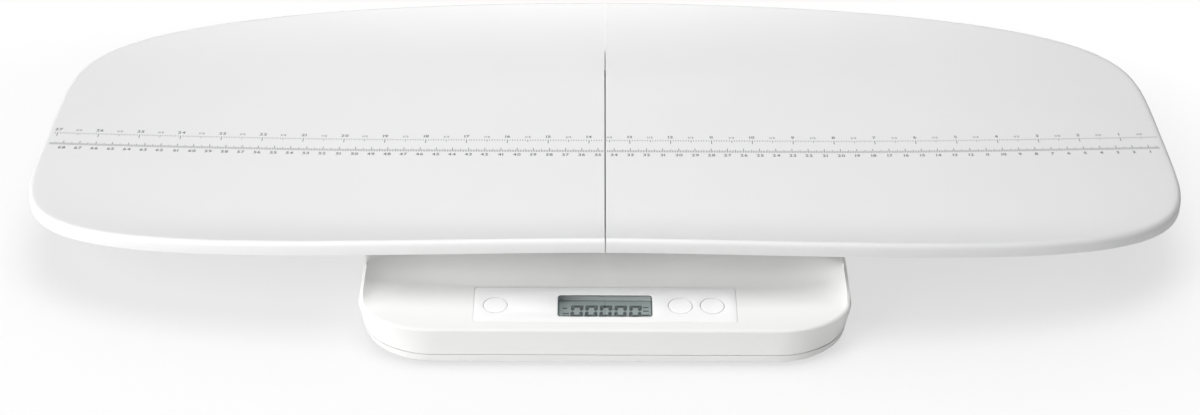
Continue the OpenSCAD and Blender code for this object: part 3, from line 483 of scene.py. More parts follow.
# Plastics, inks and rubbers: slot, then the name of the real material and finish, its colour (a hex value or
# the name of a colour property), roughness, grain and relief in millimetres, tone drift, refraction.
MOULDINGS = (
    # Satin injection-moulded ABS: an even soft sheen with no sharp reflections, a trace of grain up close.
    ("tray_abs", "tray_satin_moulded_abs", "tray", 0.42, 0.5, 0.006, 0.02, 1.53),
    ("housing_abs", "housing_satin_moulded_abs", "housing", 0.4, 0.5, 0.006, 0.02, 1.53),
    # Spark-eroded ABS: a duller, finely pitted underside.
    ("housing_abs_lower", "underside_spark_eroded_abs", "#f0f0ef", 0.5, 0.6, 0.015, 0.02, 1.53),
    ("carrier_abs", "carrier_moulded_abs", "#e9e9e6", 0.5, 0.6, 0.015, 0.02, 1.53),
    # Printed PET film over polycarbonate: smoother and slightly cooler than the moulding round it.
    ("panel_film", "front_panel_pet_film", "panel", 0.3, 1.2, 0.002, 0.02, 1.57),
    ("key_abs", "key_satin_moulded_abs", "panel", 0.36, 0.4, 0.006, 0.02, 1.53),
    # Screen-printed ink: flat grey with a slightly broken, dry surface.
    ("ruler_ink", "screen_printed_grey_ink", "print_grey", 0.6, 0.3, 0.004, 0.12, 1.45),
    # Dark ink along the display window's edge: painted shade of the gap between the panel film and the lens.
    ("window_ink", "screen_printed_dark_ink", "#4a5052", 0.5, 0.3, 0.002, 0.1, 1.45),
    # Reflective liquid-crystal glass: a grey-green field with a faint silky grain of its polariser.
    ("lcd_glass", "liquid_crystal_glass", "display", 0.3, 0.25, 0.002, 0.08, 1.52),
    ("lcd_segments", "liquid_crystal_segments", "digits", 0.35, 0.25, 0.001, 0.15, 1.52),
    # Layered silicone contact strip: dark grey, dull and uneven in tone along its length.
    ("silicone_strip", "layered_contact_silicone", "#3a3d40", 0.7, 0.3, 0.02, 0.3, 1.53),
    # Solder mask on glass fibre: glossy green lacquer over a faint weave.
    ("board_green", "solder_masked_glass_fibre", "#2f6e48", 0.32, 0.5, 0.01, 0.18, 1.55),
    # Small mouldings: dull black epoxy and nylon, smoother grey acetal, creamy natural nylon.
    ("chip_black", "moulded_epoxy", "#1d1e20", 0.55, 0.2, 0.01, 0.2, 1.53),
    ("switch_black", "moulded_nylon_black", "#26272a", 0.5, 0.3, 0.01, 0.15, 1.53),
    ("plunger_grey", "moulded_acetal_grey", "#55585c", 0.4, 0.3, 0.006, 0.1, 1.53),
    ("socket_nylon", "moulded_natural_nylon", "#ece8dc", 0.45, 0.4, 0.01, 0.05, 1.53),
    # Soft PVC, foil and shrink sleeve: a waxy half-gloss skin, mottled amber, a tight glossy wrap.
    ("cable_grey", "soft_pvc_sheath_grey", "#6a6d71", 0.5, 0.5, 0.01, 0.08, 1.53),
    ("cable_red", "soft_pvc_sheath_red", "#b23b33", 0.45, 0.5, 0.01, 0.08, 1.53),
    ("gauge_amber", "polyimide_foil_amber", "#c98f2f", 0.35, 0.3, 0.006, 0.2, 1.53),
    ("battery_sleeve", "shrunk_pvc_sleeve", "#58636f", 0.32, 0.6, 0.006, 0.1, 1.53),
    # Moulded rubber and silicone: dull, slightly dusty grey with a soft pebbled skin.
    ("foot_rubber", "moulded_rubber_grey", "#8d8f91", 0.78, 0.8, 0.05, 0.12, 1.53),
    ("pad_silicone", "moulded_silicone_grey", "#b4b6b8", 0.62, 0.7, 0.03, 0.08, 1.53),
)
# Metals: slot, name, colour, roughness, scratch width in millimetres, stretch of the scratches.
METALS = (
    # Zinc-plated, nickel-plated and ground steel: cool grey, dull or bright, with fine tool marks.
    ("zinc_steel", "zinc_plated_steel", "#c3c6ca", 0.36, 0.2, (1, 1, 1)),
    ("contact_nickel", "nickel_plated_steel", "#cfcdc6", 0.28, 0.2, (1, 1, 1)),
    ("cell_steel", "ground_alloy_steel", "#c6c8cb", 0.3, 0.15, (1, 0.06, 1)),
)
FINISHES = {}


def make_finishes(colours):
    """All finishes of the scale, by the slots of the record that they stand for."""
    for slot, name, colour, *rest in MOULDINGS:
        shade = linear(colour) if colour.startswith("#") else getattr(colours, colour)
        FINISHES[slot] = moulded(name, shade, *rest)
    for slot, name, colour, *rest in METALS:
        FINISHES[slot] = worked_metal(name, linear(colour), *rest)
    FINISHES["holder_abs"] = FINISHES["carrier_abs"]
    FINISHES["display_lens"] = clear_window("clear_polycarbonate")


# ---------- tray ----------

# Powers of the tray's outline along and across.
OUTLINE_ALONG = 3.16
OUTLINE_ACROSS = 4.8
# Share of the half length over which the floor is level, then the powers of its rise and of the rim's fall.
LEVEL_SHARE = 0.4
END_RISE_POWER = 1.5
RIM_FALL_POWER = 1.7
# Share of the half depth where the trough's wall starts, and the power of its rise.
WALL_START = 0.42
WALL_POWER = 2.6
# Radius of the rolled rim, and the place of the tray's middle and of its floor.
RIM_ROUND = 3.0
TRAY_MIDDLE_Y = 14.0
TRAY_FLOOR = 48.0
# Stations along half the outline, rings over the floor, and how they crowd towards the rim.
OUTLINE_STATIONS = 221
FLOOR_RINGS = 40
RING_CROWDING = 1.35
# Under each half: the seam flange's reach, the row of ribs and pegs, the ribs' ends and the pegs' place.
FLANGE_REACH = 96
FITTING_ROW = 46.0
RIB_ENDS = (152, 292)
PEG_X = 62
PEG_SECTION = [(0, -12.5), (4.5, -12.5), (4.5, -1.5), (0, -1.5)]


def tray_face(x, y, size):
    """Height of the tray's upper face over its level floor. Along the length the floor is level and then
    rises by a power of the share that is left. Across, the wall rises from the floor to the rim by a power
    of the share of the depth that lies past the level middle."""
    half, deep = size["tray_length"] / 2, size["tray_depth"] / 2
    u = np.clip(np.abs(x) / half, 0, 1)
    edge = np.maximum(1 - u**OUTLINE_ALONG, 0) ** (1 / OUTLINE_ACROSS) * (deep - RIM_ROUND)
    v = np.clip(np.abs(y) / np.maximum(edge, 0.01), 0, 1)
    floor = size["rim_end"] * np.maximum((u - LEVEL_SHARE) / (1 - LEVEL_SHARE), 0) ** END_RISE_POWER
    rim = size["rim_end"] + (size["rim_middle"] - size["rim_end"]) * (1 - u**RIM_FALL_POWER)
    return floor + (rim - floor) * np.maximum((v - WALL_START) / (1 - WALL_START), 0) ** WALL_POWER


def tray_outline(size, count):
    """Points and outward normals of the right half's outline, a rounded rectangle by the rule
    (x/a)^3.16 + (y/b)^4.8 = 1, at equal steps along its length."""
    half, deep = size["tray_length"] / 2, size["tray_depth"] / 2
    turn = np.linspace(-math.pi / 2, math.pi / 2, 6001)
    x = half * np.maximum(np.cos(turn), 0) ** (2 / OUTLINE_ALONG)
    y = deep * np.sign(np.sin(turn)) * np.abs(np.sin(turn)) ** (2 / OUTLINE_ACROSS)
    run = np.concatenate([[0], np.cumsum(np.hypot(np.diff(x), np.diff(y)))])
    at = np.interp(np.linspace(0, run[-1], count), run, np.arange(len(run)))
    x, y = np.interp(at, np.arange(len(x)), x), np.interp(at, np.arange(len(y)), y)
    gx = OUTLINE_ALONG * (x / half) ** (OUTLINE_ALONG - 1) / half
    gy = OUTLINE_ACROSS * np.sign(y) * np.abs(y / deep) ** (OUTLINE_ACROSS - 1) / deep
    normal = np.stack([gx, gy], -1) / np.hypot(gx, gy)[:, None]
    return np.stack([x, y], -1), normal


def tray_half(size):
    """The right half of the tray. Rings of the outline shrink towards the middle of the seam over the
    floor; from the crown the line turns over the rim on an arc, drops down the skirt, turns under it and
    runs back beneath the floor. The two cut faces at the seam are closed."""
    outline, normal = tray_outline(size, OUTLINE_STATIONS)
    half, gap, wall = size["tray_length"] / 2, size["seam"] / 2, size["tray_wall"]
    inner = outline - normal * RIM_ROUND

    def seamed(p):
        return np.stack([gap + p[..., 0] * (half - gap) / half, p[..., 1]], -1)

    def raised(p, drop):
        q = seamed(p)
        return np.concatenate([q, (tray_face(q[..., 0], q[..., 1], size) - drop)[..., None]], -1)

    shares = 1 - (1 - np.linspace(0, 1, FLOOR_RINGS + 1)[1:]) ** RING_CROWDING
    top = [raised(inner * share, 0) for share in shares]
    crown = top[-1][:, 2]
    rim = []
    for turn in np.radians([75, 60, 45, 30, 15, 0]):
        q = seamed(inner + normal * RIM_ROUND * math.cos(turn))
        rim.append(np.column_stack([q, crown - RIM_ROUND * (1 - math.sin(turn))]))
    low = crown - size["skirt"]
    for run, rise in ((0, 0.6), (0.17, 0.17), (0.6, 0), (wall - 0.6, 0), (wall - 0.17, 0.17), (wall, 0.6)):
        q = seamed(outline - normal * run)
        rim.append(np.column_stack([q, low + rise]))
    under = [raised((outline - normal * wall) * share, wall) for share in shares[::-1]]
    rings = np.array(top + rim + under).transpose(1, 0, 2)
    count = rings.shape[1]
    points, faces = sheet(rings)
    last = (len(rings) - 1) * count
    top_pole, low_pole = len(points), len(points) + 1
    points = np.concatenate([points, [[gap, 0, 0], [gap, 0, -wall]]])
    start = np.arange(len(rings) - 1) * count
    faces.append(np.stack([np.full_like(start, top_pole), start, start + count], -1))
    faces.append(np.stack([np.full_like(start, low_pole), start + 2 * count - 1, start + count - 1], -1))
    ring = np.arange(count)
    faces.append(np.concatenate([[top_pole], ring, [low_pole]])[None, :])
    faces.append(np.concatenate([[low_pole], last + ring[::-1], [top_pole]])[None, :])
    return points, faces


def tray_fittings(size):
    """What hangs under the right half: the seam flange, two tapering wing ribs and two locating pegs."""
    wall = size["tray_wall"]
    parts = [bar((1.5, -FLANGE_REACH, -0.6), (1.5, FLANGE_REACH, -0.6), 2.2, (7.8, 7.8), 0.3)]
    width = 2.4
    near, far = RIB_ENDS
    low, high = tray_face(np.array(RIB_ENDS), np.full(2, FITTING_ROW), size) - wall / 2
    peg = lathe(eased(PEG_SECTION, (0.8, 0)), 48)
    for y in (-FITTING_ROW, FITTING_ROW):
        start, end = (near - width / 2, y + width / 2, low), (far + width / 2, y + width / 2, high)
        parts.append(bar(start, end, width, (6.5, 2.5), 0.4))
        parts.append(moved(peg, (PEG_X, y, 0)))
    return joined(*parts)


class SCALE_OT_tray_halves(bpy.types.Operator):
    """Build the two halves of the trough tray"""

    bl_idname = "scale.tray_halves"
    bl_label = "Tray Halves"

    def execute(self, context):
        size = millimetres(context)
        half = moved(joined(tray_half(size), tray_fittings(size)), (0, TRAY_MIDDLE_Y, TRAY_FLOOR))
        for name, part in (("tray_right", half), ("tray_left", mirrored(half))):
            piece(name + "_shell", part, name, FINISHES["tray_abs"], (name,), sharp=28)
        return {"FINISHED"}


# ---------- ruler ----------

# Places of the zero, of the two scales' lines, and how far the numbers' feet lie from them.
INCH = 25.4
RULER_ZERO_X = 345.6
RULER_LINE_Y = -15.1
INCH_LINE_Y = -1.2
NUMBER_DROP = 6.2
NUMBER_LIFT = 1.9
# How far the ink stands over the face under it, and how far it keeps from the seam and the tray's end.
PRINT_LIFT = 0.03
SEAM_CLEAR = 0.1
END_CLEAR = 4.5
LABEL_CLEAR = 2
# The font: how much it is thickened and widened, the space between characters, heights of numbers and halves.
FONT_WEIGHT = 0.022
LETTER_STRETCH = 1.05
LETTER_GAP = 0.16
NUMBER_HEIGHT = 2.9
HALF_HEIGHT = 1.9
# Strokes: one every so many millimetres or sixteenths, its width, and its start and end over the line.
CENTIMETRE_STROKES = ((1, 0.36, -1.6, 0.9), (5, 0.36, 0, 1.9), (10, 0.42, 0, 3.2))
INCH_STROKES = ((1, 0.36, -1.9, -0.3), (8, 0.38, -3.2, -0.3), (16, 0.46, -4.9, -0.3))


def glyphs(characters):
    """Each character of the built-in font as flat points and triangles, one unit high, with its width."""
    made = {}
    for character in characters:
        curve = bpy.data.curves.new("glyph", "FONT")
        curve.body = character
        curve.offset = FONT_WEIGHT
        holder = bpy.data.objects.new("glyph", curve)
        bpy.context.scene.collection.objects.link(holder)
        bpy.context.view_layer.update()
        mesh = bpy.data.meshes.new_from_object(holder)
        mesh.calc_loop_triangles()
        points = np.array([tuple(v.co) for v in mesh.vertices])[:, :2]
        faces = np.array([tuple(t.vertices) for t in mesh.loop_triangles])
        low, high = points.min(0), points.max(0)
        made[character] = (points - [low[0], 0], faces, high[0] - low[0])
        bpy.data.objects.remove(holder)
        bpy.data.curves.remove(curve)
        bpy.data.meshes.remove(mesh)
    scale = 1 / made["0"][0][:, 1].max()
    return {key: (points * scale, faces, width * scale) for key, (points, faces, width) in made.items()}


def label(text, centre, height, letters):
    """A word of glyphs, centred on a place of the tray, in its plan."""
    widths = [letters[c][2] for c in text]
    at = -(sum(widths) + LETTER_GAP * (len(text) - 1)) / 2
    parts = []
    for character, width in zip(text, widths):
        points, faces, _ = letters[character]
        flat = (points + [at, 0]) * [height * LETTER_STRETCH, height] + centre
        parts.append((np.column_stack([flat, np.zeros(len(flat))]), [faces]))
        at += width + LETTER_GAP
    return joined(*parts)


def ticks(places, width, low, high):
    """Upright strokes as quads: one at each place, from low to high."""
    places = np.asarray(places, float)
    x = np.stack([places - width / 2, places + width / 2, places + width / 2, places - width / 2], -1)
    y = np.broadcast_to([low, low, high, high], x.shape)
    points = np.stack([x, y, np.zeros_like(x)], -1).reshape(-1, 3)
    return points, [np.arange(len(points)).reshape(-1, 4)]


def ruler_marks(size):
    """The tray's two scales in its plan. Centimetres: strokes at every millimetre, longer ones at 5 and 10,
    and a number below. Inches: strokes at every sixteenth, longer ones at halves and wholes, and a number
    above. Both start at the right end."""
    letters = glyphs("0123456789/")
    reach = size["tray_length"] / 2 - END_CLEAR
    parts = []
    scales = (
        (1, 691, RULER_LINE_Y, CENTIMETRE_STROKES),
        (INCH / 16, 449, INCH_LINE_Y, INCH_STROKES),
    )
    for pitch, count, line, rows in scales:
        number = np.arange(count)
        x = RULER_ZERO_X - number * pitch
        keep = np.abs(x) < reach
        number, x = number[keep], x[keep]
        for step, width, low, high in rows:
            parts.append(ticks(x[number % step == 0], width, line + low, line + high))
    for centimetre in range(1, 69):
        at = RULER_ZERO_X - 10 * centimetre
        if abs(at) < reach - LABEL_CLEAR:
            parts.append(label(str(centimetre), (at, RULER_LINE_Y - NUMBER_DROP), NUMBER_HEIGHT, letters))
    for half in range(1, 55):
        at = RULER_ZERO_X - INCH * half / 2
        if abs(at) > reach - LABEL_CLEAR:
            continue
        text, height = (str(half // 2), NUMBER_HEIGHT) if half % 2 == 0 else ("1/2", HALF_HEIGHT)
        parts.append(label(text, (at, INCH_LINE_Y + NUMBER_LIFT), height, letters))
    return joined(*parts)


class SCALE_OT_ruler_print(bpy.types.Operator):
    """Print the centimetre and inch scales on the tray's floor"""

    bl_idname = "scale.ruler_print"
    bl_label = "Ruler Print"

    def execute(self, context):
        size = millimetres(context)
        points, groups = ruler_marks(size)
        height = tray_face(points[:, 0], points[:, 1], size) + PRINT_LIFT
        placed = np.column_stack([points[:, 0], points[:, 1] + TRAY_MIDDLE_Y, height + TRAY_FLOOR])
        clear = size["seam"] / 2 + SEAM_CLEAR
        for name, side in (("tray_right", 1), ("tray_left", -1)):
            kept = [group[(points[group][..., 0] * side > clear).all(1)] for group in groups]
            part = compact(placed, kept)
            piece(name + "_ruler_print", part, name, FINISHES["ruler_ink"], outward=False)
        return {"FINISHED"}


# ---------- base ----------

# Front of the base, reach of its corners across and (in front) along, and the height of its underside.
BASE_FRONT = -164.0
CORNER_ACROSS = 44.0
CORNER_ALONG = 30.0
UNDERSIDE = 3.0
# How far the side stands in at the underside and at the platform, against its widest line.
DRAW_LOW = 1.5
DRAW_HIGH = 3.0
# Slope of the ledge, and the curve of the foot of the wall behind it at both ends.
SLOPE = math.radians(6)
FOOT_CURVE_ACROSS = 42.5
FOOT_CURVE_ALONG = 20.0
# The shadow groove's upper and lower edge, the housing's wall and the rounding of its lower edge.
UPPER_LOW = 8.25
LOWER_HIGH = 8.0
HOUSING_WALL = 2.5
LOWER_EDGE = 1.2
# The panel's hole: half its width, its start and end up the slope, and its corners.
PANEL_HOLE = (75.2, 7.7, 38.7)
PANEL_HOLE_CORNER = 2.2
# Holes in the platform: peg sockets and rubber pads (places and radii), and half the seam's trough.
SOCKETS = [(62, -32), (62, 60)]
SOCKET_RADIUS = 4.8
PAD_SEATS = [(96, -34), (96, 62)]
PAD_SEAT_RADIUS = 10.2
CHANNEL = (3.4, -82.8, 110.8)
# Reach of the parabola at the foot of the wall (least and added at the ends) and at the platform's edge.
FOOT_BLEND = 0.4
FOOT_BLEND_ADDED = 7
PLATFORM_BLEND = 2.6
# Where the foot's parabola starts to widen, and over how much.
BLEND_START = 78
BLEND_WIDTH = 45
# A face of the solid belongs to the outside if it lies this close to the side's outline, the platform, the
# ledge (up to its end along Y) or the wall behind it. A level face's normal has at least this upright share.
SIDE_REACH = 1.2
PLATFORM_REACH = 0.05
LEDGE_REACH = 0.08
LEDGE_END = 41
WALL_REACH = 0.6
LEVEL = 0.9


def on_ledge(part, size):
    """Carries a part from the ledge's own frame (x, up the slope, out of its face) to the scale's frame."""
    x, s, h = part[0].T
    y = BASE_FRONT + s * math.cos(SLOPE) - h * math.sin(SLOPE)
    z = size["ledge_height"] + s * math.sin(SLOPE) + h * math.cos(SLOPE)
    return np.stack([x, y, z], -1), part[1]


def draw_in(z, size):
    """How far the base's side stands in from its widest line at the height z."""
    wide, top = size["ledge_height"], size["platform"]
    above = DRAW_HIGH * (z - wide) / (top - wide)
    below = DRAW_LOW * (wide - z) / (wide - UNDERSIDE)
    return np.where(z > wide, above, below)


def front_corner(z, size):
    """Depth of the front corners at the height z."""
    wide = size["ledge_height"]
    return CORNER_ALONG + (CORNER_ACROSS - CORNER_ALONG) * np.clip((wide - z) / (wide - UNDERSIDE), 0, 1)


class BaseLine:
    """Stations round the base, from the middle of its front by the right side to the middle of its back,
    and back by the left. A station is a kind (front, front corner, side, back corner, back) and a value."""

    def __init__(self, size, front, side):
        corner = np.radians(np.linspace(0, 90, 33))
        straight = size["base_width"] / 2 - CORNER_ACROSS
        values = [front, corner[1:], side[1:], corner[1:], np.linspace(straight, 0, 24)[1:]]
        self.kind = np.concatenate([np.full(len(v), i) for i, v in enumerate(values)])
        self.value = np.concatenate(values)
        self.size = size

    def half(self, inset, depth):
        """Right half of the line, drawn in by inset, with front corners of the given depth."""
        size = self.size
        straight = size["base_width"] / 2 - CORNER_ACROSS
        back = BASE_FRONT + size["base_depth"]
        rx, ry = CORNER_ACROSS - inset, depth - inset / 2
        front_y = BASE_FRONT + inset + ry
        back_y = back - CORNER_ACROSS
        v = self.value
        x = np.choose(
            self.kind,
            [v, straight + rx * np.sin(v), straight + rx + 0 * v, straight + rx * np.cos(v), v],
        )
        y = np.choose(
            self.kind,
            [
                BASE_FRONT + inset + 0 * v,
                front_y - ry * np.cos(v),
                front_y + v * (back_y - front_y),
                back_y + rx * np.sin(v),
                back - inset + 0 * v,
            ],
        )
        return np.stack([x, y], -1)

    def whole(self, inset, depth, height):
        """The closed line as points at one height."""
        half = self.half(inset, depth)
        half = np.column_stack([half, np.full(len(half), height)])
        return np.concatenate([half, half[1:-1][::-1] * [-1, 1, 1]])


def smooth_most(a, b, blend):
    """The greater of two heights, with their meeting line filled by a parabola of the given reach."""
    near = np.maximum(blend - np.abs(a - b), 0) / blend
    return np.maximum(a, b) + near * near * blend / 4


def ledge_foot(x, size):
    """Where the wall behind the ledge starts: straight in the middle, curving forward at both ends."""
    past = np.clip((np.abs(x) - (size["base_width"] / 2 - FOOT_CURVE_ACROSS)) / FOOT_CURVE_ACROSS, 0, 1)
    foot = BASE_FRONT + size["ledge_depth"] * math.cos(SLOPE)
    return foot - FOOT_CURVE_ALONG * (1 - np.sqrt(1 - past**2))


def top_height(x, y, size):
    """Height of the base's upper face: the ledge's slope, the 45 degree wall behind it and the platform,
    with a soft foot that widens to the sides and a rounded upper edge."""
    slope = size["ledge_height"] + (y - BASE_FRONT) * math.tan(SLOPE)
    foot_height = size["ledge_height"] + size["ledge_depth"] * math.sin(SLOPE)
    wall = foot_height + (y - ledge_foot(x, size))
    side = np.clip((np.abs(x) - BLEND_START) / BLEND_WIDTH, 0, 1)
    foot = smooth_most(slope, wall, FOOT_BLEND + FOOT_BLEND_ADDED * side * side * (3 - 2 * side))
    return -smooth_most(-foot, np.full_like(foot, -size["platform"]), PLATFORM_BLEND)


def front_zone(size):
    """The right half of the ledge, of the wall behind it and of the platform's front strip as one grid, and
    its stations across the front. Its columns follow the front line of the base and its front corner, and
    its rows run from that line over the wall's foot and upper edge."""
    edge = size["edge_round"]
    straight = size["base_width"] / 2 - CORNER_ACROSS
    hole_x, hole_low, hole_high = PANEL_HOLE
    front = np.unique(np.concatenate([np.linspace(0, 60, 7), [68, 73, hole_x, 80, 86, 92, straight]]))
    rim_top = size["ledge_height"] + 0.1
    foot_height = size["ledge_height"] + size["ledge_depth"] * math.sin(SLOPE)
    climb = size["platform"] - foot_height
    near = BASE_FRONT + edge
    foot = BASE_FRONT + size["ledge_depth"] * math.cos(SLOPE)
    corner = PANEL_HOLE_CORNER
    marks = np.array([hole_low, hole_low + corner, 14, 20, 26, 32, hole_high - corner, hole_high])
    marks = (BASE_FRONT + marks * math.cos(SLOPE) - near) / (foot - near)
    ledge_rows = np.concatenate([[0, 0.03, 0.08, 0.13], marks, [1.0]])
    wall_rows = np.array(
        [0.03, 0.06, 0.12, 0.2, 0.35, 0.5, 0.65, 0.78, 0.85, 0.9, 0.95, 1.0, 1.05, 1.1, 1.18, 1.3]
    )
    stations = BaseLine(size, front, np.array([0.0, 1.0]))
    columns = stations.half(draw_in(rim_top, size) + edge, CORNER_ALONG)[stations.kind < 2]
    x = columns[:, 0]
    start = columns[:, 1]
    foot_y = np.maximum(ledge_foot(x, size), start + 0.4)
    top_y = ledge_foot(x, size) + climb
    y = np.concatenate(
        [
            start + ledge_rows[:, None] * (foot_y - start),
            foot_y + wall_rows[:, None] * (top_y - foot_y),
        ]
    )
    width = size["base_width"] / 2
    x = np.broadcast_to(x, y.shape).copy()
    for _ in range(3):
        z = top_height(x, y, size)
        reach = width - draw_in(z, size) - edge
        outer = x[0] > straight
        share = (columns[:, 0] - straight) / (columns[-1, 0] - straight)
        x = np.where(outer, straight + share * (reach - straight), x)
    z = top_height(x, y, size)
    z[-1] = size["platform"]
    return np.stack([x, y, z], -1), front


def corner_fill(corner, arc):
    """A fan from the sharp corner of a hole to the arc that rounds it."""
    points = np.concatenate([[corner], arc])
    start = np.arange(1, len(arc))
    return points, [np.stack([np.zeros_like(start), start, start + 1], -1)]


def base_skin(size):
    """The outside of the upper housing: the front zone, the level platform with its holes, the rounded edge
    all round, and the side walls, which run out to the widest line and in again below it. At the bottom
    they turn in to the shadow groove."""
    grid, front = front_zone(size)
    platform, edge = size["platform"], size["edge_round"]
    right_side = grid[:, -1]
    rim_front = grid[0, :, 1][-1]
    back_y = BASE_FRONT + size["base_depth"] - CORNER_ACROSS
    along = (right_side[:, 1] - rim_front) / (back_y - rim_front)
    rest = np.linspace(along[-1], 1, 24)[1:]
    line = BaseLine(size, front, np.concatenate([along, rest]))
    first_side = np.flatnonzero(line.kind == 2)[0]
    half = line.half(draw_in(platform, size) + edge, CORNER_ALONG)
    heights = np.full(len(half), platform)
    count = grid.shape[1]
    half[:count] = grid[0, :, :2]
    heights[:count] = grid[0, :, 2]
    rows = len(along) - 1
    half[first_side : first_side + rows] = right_side[1:, :2]
    heights[first_side : first_side + rows] = right_side[1:, 2]

    def ring_at(z, run=0.0):
        return np.column_stack([line.half(draw_in(z, size) + run, front_corner(z, size)), z])

    rings = [np.column_stack([half, heights])]
    for turn in np.radians([70, 50, 30, 12, 0]):
        rings.append(ring_at(heights - edge * (1 - math.sin(turn)), edge * (1 - math.cos(turn))))
    top = heights - edge
    wide = np.minimum(size["ledge_height"], top - 0.4)
    rings += [ring_at(wide + (top - wide) * share) for share in (0.5, 0.06)]
    rings += [ring_at(UPPER_LOW + (wide - UPPER_LOW) * share) for share in (0.97, 0.8, 0.6, 0.4, 0.2, 0.04)]
    low = np.full(len(half), UPPER_LOW)
    rings += [ring_at(low, run) + [0, 0, lift] for lift, run in ((0.1, 0.1), (0, 0.4), (0, HOUSING_WALL))]
    rings = np.array(rings)
    left = rings[:, 1:-1][:, ::-1] * [-1, 1, 1]
    walls = sheet(np.concatenate([rings, left], 1), closed=True)

    quads = grid_faces(*grid.shape[:2])
    middle = grid.reshape(-1, 3)[quads].mean(1)
    hole_x, hole_low, hole_high = PANEL_HOLE
    slope_run = (middle[:, 1] - BASE_FRONT) / math.cos(SLOPE)
    in_hole = (middle[:, 0] < hole_x) & (slope_run > hole_low) & (slope_run < hole_high)
    zone = (grid.reshape(-1, 3), [quads[~in_hole]])
    fills = []
    turn = np.linspace(0, math.pi / 2, 9)
    for s_corner, sign in ((hole_low, -1), (hole_high, 1)):
        arc = np.column_stack(
            [
                hole_x - PANEL_HOLE_CORNER + PANEL_HOLE_CORNER * np.cos(turn),
                s_corner - sign * PANEL_HOLE_CORNER + sign * PANEL_HOLE_CORNER * np.sin(turn),
                np.zeros(9),
            ]
        )
        fill = on_ledge(corner_fill([hole_x, s_corner, 0], arc), size)
        fills.append(fill if sign > 0 else (fill[0], [f[:, ::-1] for f in fill[1]]))
    right = joined(zone, *fills)

    edge_line = np.concatenate([grid[-1, :, :2], half[first_side + rows :]])
    outer = np.concatenate([edge_line, edge_line[1:-1][::-1] * [-1, 1]])
    holes = [round_loop(SOCKET_RADIUS, (sx * x, y), 48)(0) for x, y in SOCKETS for sx in (-1, 1)]
    holes += [round_loop(PAD_SEAT_RADIUS, (sx * x, y))(0) for x, y in PAD_SEATS for sx in (-1, 1)]
    x, low, high = CHANNEL
    holes.append(np.array([[x, low], [x, high], [-x, high], [-x, low]]))
    level = flat_face(outer, holes, platform)
    return joined(walls, right, mirrored(right), level)


def side_gap(middle, size):
    """How far points lie inside the outline of the base at their own heights."""
    x, y, z = middle.T
    inset, depth = draw_in(z, size), front_corner(z, size)
    rx, ry = CORNER_ACROSS - inset, depth - inset / 2
    corner_x = size["base_width"] / 2 - CORNER_ACROSS
    front_y, back_y = BASE_FRONT + inset + ry, BASE_FRONT + size["base_depth"] - CORNER_ACROSS
    dx = np.maximum(np.abs(x) - corner_x, 0)
    dy = np.where(y < front_y, front_y - y, np.maximum(y - back_y, 0))
    reach = np.where(y < front_y, ry, rx)
    return (1 - np.hypot(dx / rx, dy / reach)) * np.where(dy > dx, reach, rx)


def hidden_side(size):
    """What lies behind the skin of the upper housing, from the CAD solid: every face that isn't on the
    outside. A face is outside if it lies in the plane of the platform, the ledge or the wall behind it, or
    close to the side's outline."""
    points, faces, normal = copied("upper_housing")
    middle = points[faces].mean(1)
    x, y, z = middle.T
    slope = size["ledge_height"] + (y - BASE_FRONT) * math.tan(SLOPE)
    foot_height = size["ledge_height"] + size["ledge_depth"] * math.sin(SLOPE)
    wall = foot_height + (y - ledge_foot(x, size))
    level = normal[:, 2] > LEVEL
    on_platform = (np.abs(z - size["platform"]) < PLATFORM_REACH) & level
    on_slope = (np.abs(z - slope) < LEDGE_REACH) & level & (y < BASE_FRONT + LEDGE_END)
    on_wall = (np.abs(z - wall) < WALL_REACH) & (normal[:, 2] > 0.5) & (normal[:, 1] < -0.3)
    on_side = (side_gap(middle, size) < SIDE_REACH) & (np.abs(normal[:, 2]) < 0.5)
    return compact(points, [faces[~(on_platform | on_slope | on_wall | on_side)]])


def edge_loops(faces):
    """The closed lines of corner numbers round a patch of triangles: its edges that only one face has,
    chained from corner to corner."""
    edges = np.concatenate([faces[:, [0, 1]], faces[:, [1, 2]], faces[:, [2, 0]]])
    both = {(int(a), int(b)) for a, b in edges}
    after = {a: b for a, b in both if (b, a) not in both}
    loops = []
    while after:
        start, here = after.popitem()
        loop = [start]
        while here != start:
            loop.append(here)
            here = after.pop(here)
        loops.append(loop)
    return loops


def lower_skin(size):
    """The lower housing: its side runs down from the shadow groove to a rounded lower edge. The level
    underside has the openings of the CAD solid, and all that lies inside comes from the solid as it is."""
    points, faces, normal = copied("lower_housing")
    middle = points[faces].mean(1)
    below = (np.abs(middle[:, 2] - UNDERSIDE) < 0.01) & (normal[:, 2] < -LEVEL)
    on_side = (side_gap(middle, size) < SIDE_REACH) & (np.abs(normal[:, 2]) < 0.5)
    on_side &= middle[:, 2] < LOWER_HIGH
    inner = compact(points, [faces[~(below | on_side)]])
    straight = size["base_width"] / 2 - CORNER_ACROSS
    line = BaseLine(size, np.linspace(0, straight, 16), np.linspace(0, 1, 24))
    turns = np.radians([0, 15, 30, 50, 70, 90])
    heights = [LOWER_HIGH + 0.05, 6.5, *(UNDERSIDE + LOWER_EDGE * (1 - np.sin(turns)))]
    runs = [0, 0, *(LOWER_EDGE * (1 - np.cos(turns)))]
    rings = [line.whole(draw_in(z, size) + run, front_corner(z, size), z) for z, run in zip(heights, runs)]
    holes = [points[loop][:, :2] for loop in edge_loops(faces[below])]
    widths = [np.ptp(hole[:, 0]) for hole in holes]
    holes.pop(int(np.argmax(widths)))
    return joined(sheet(np.array(rings), closed=True), flat_face(rings[-1][:, :2], holes, UNDERSIDE), inner)


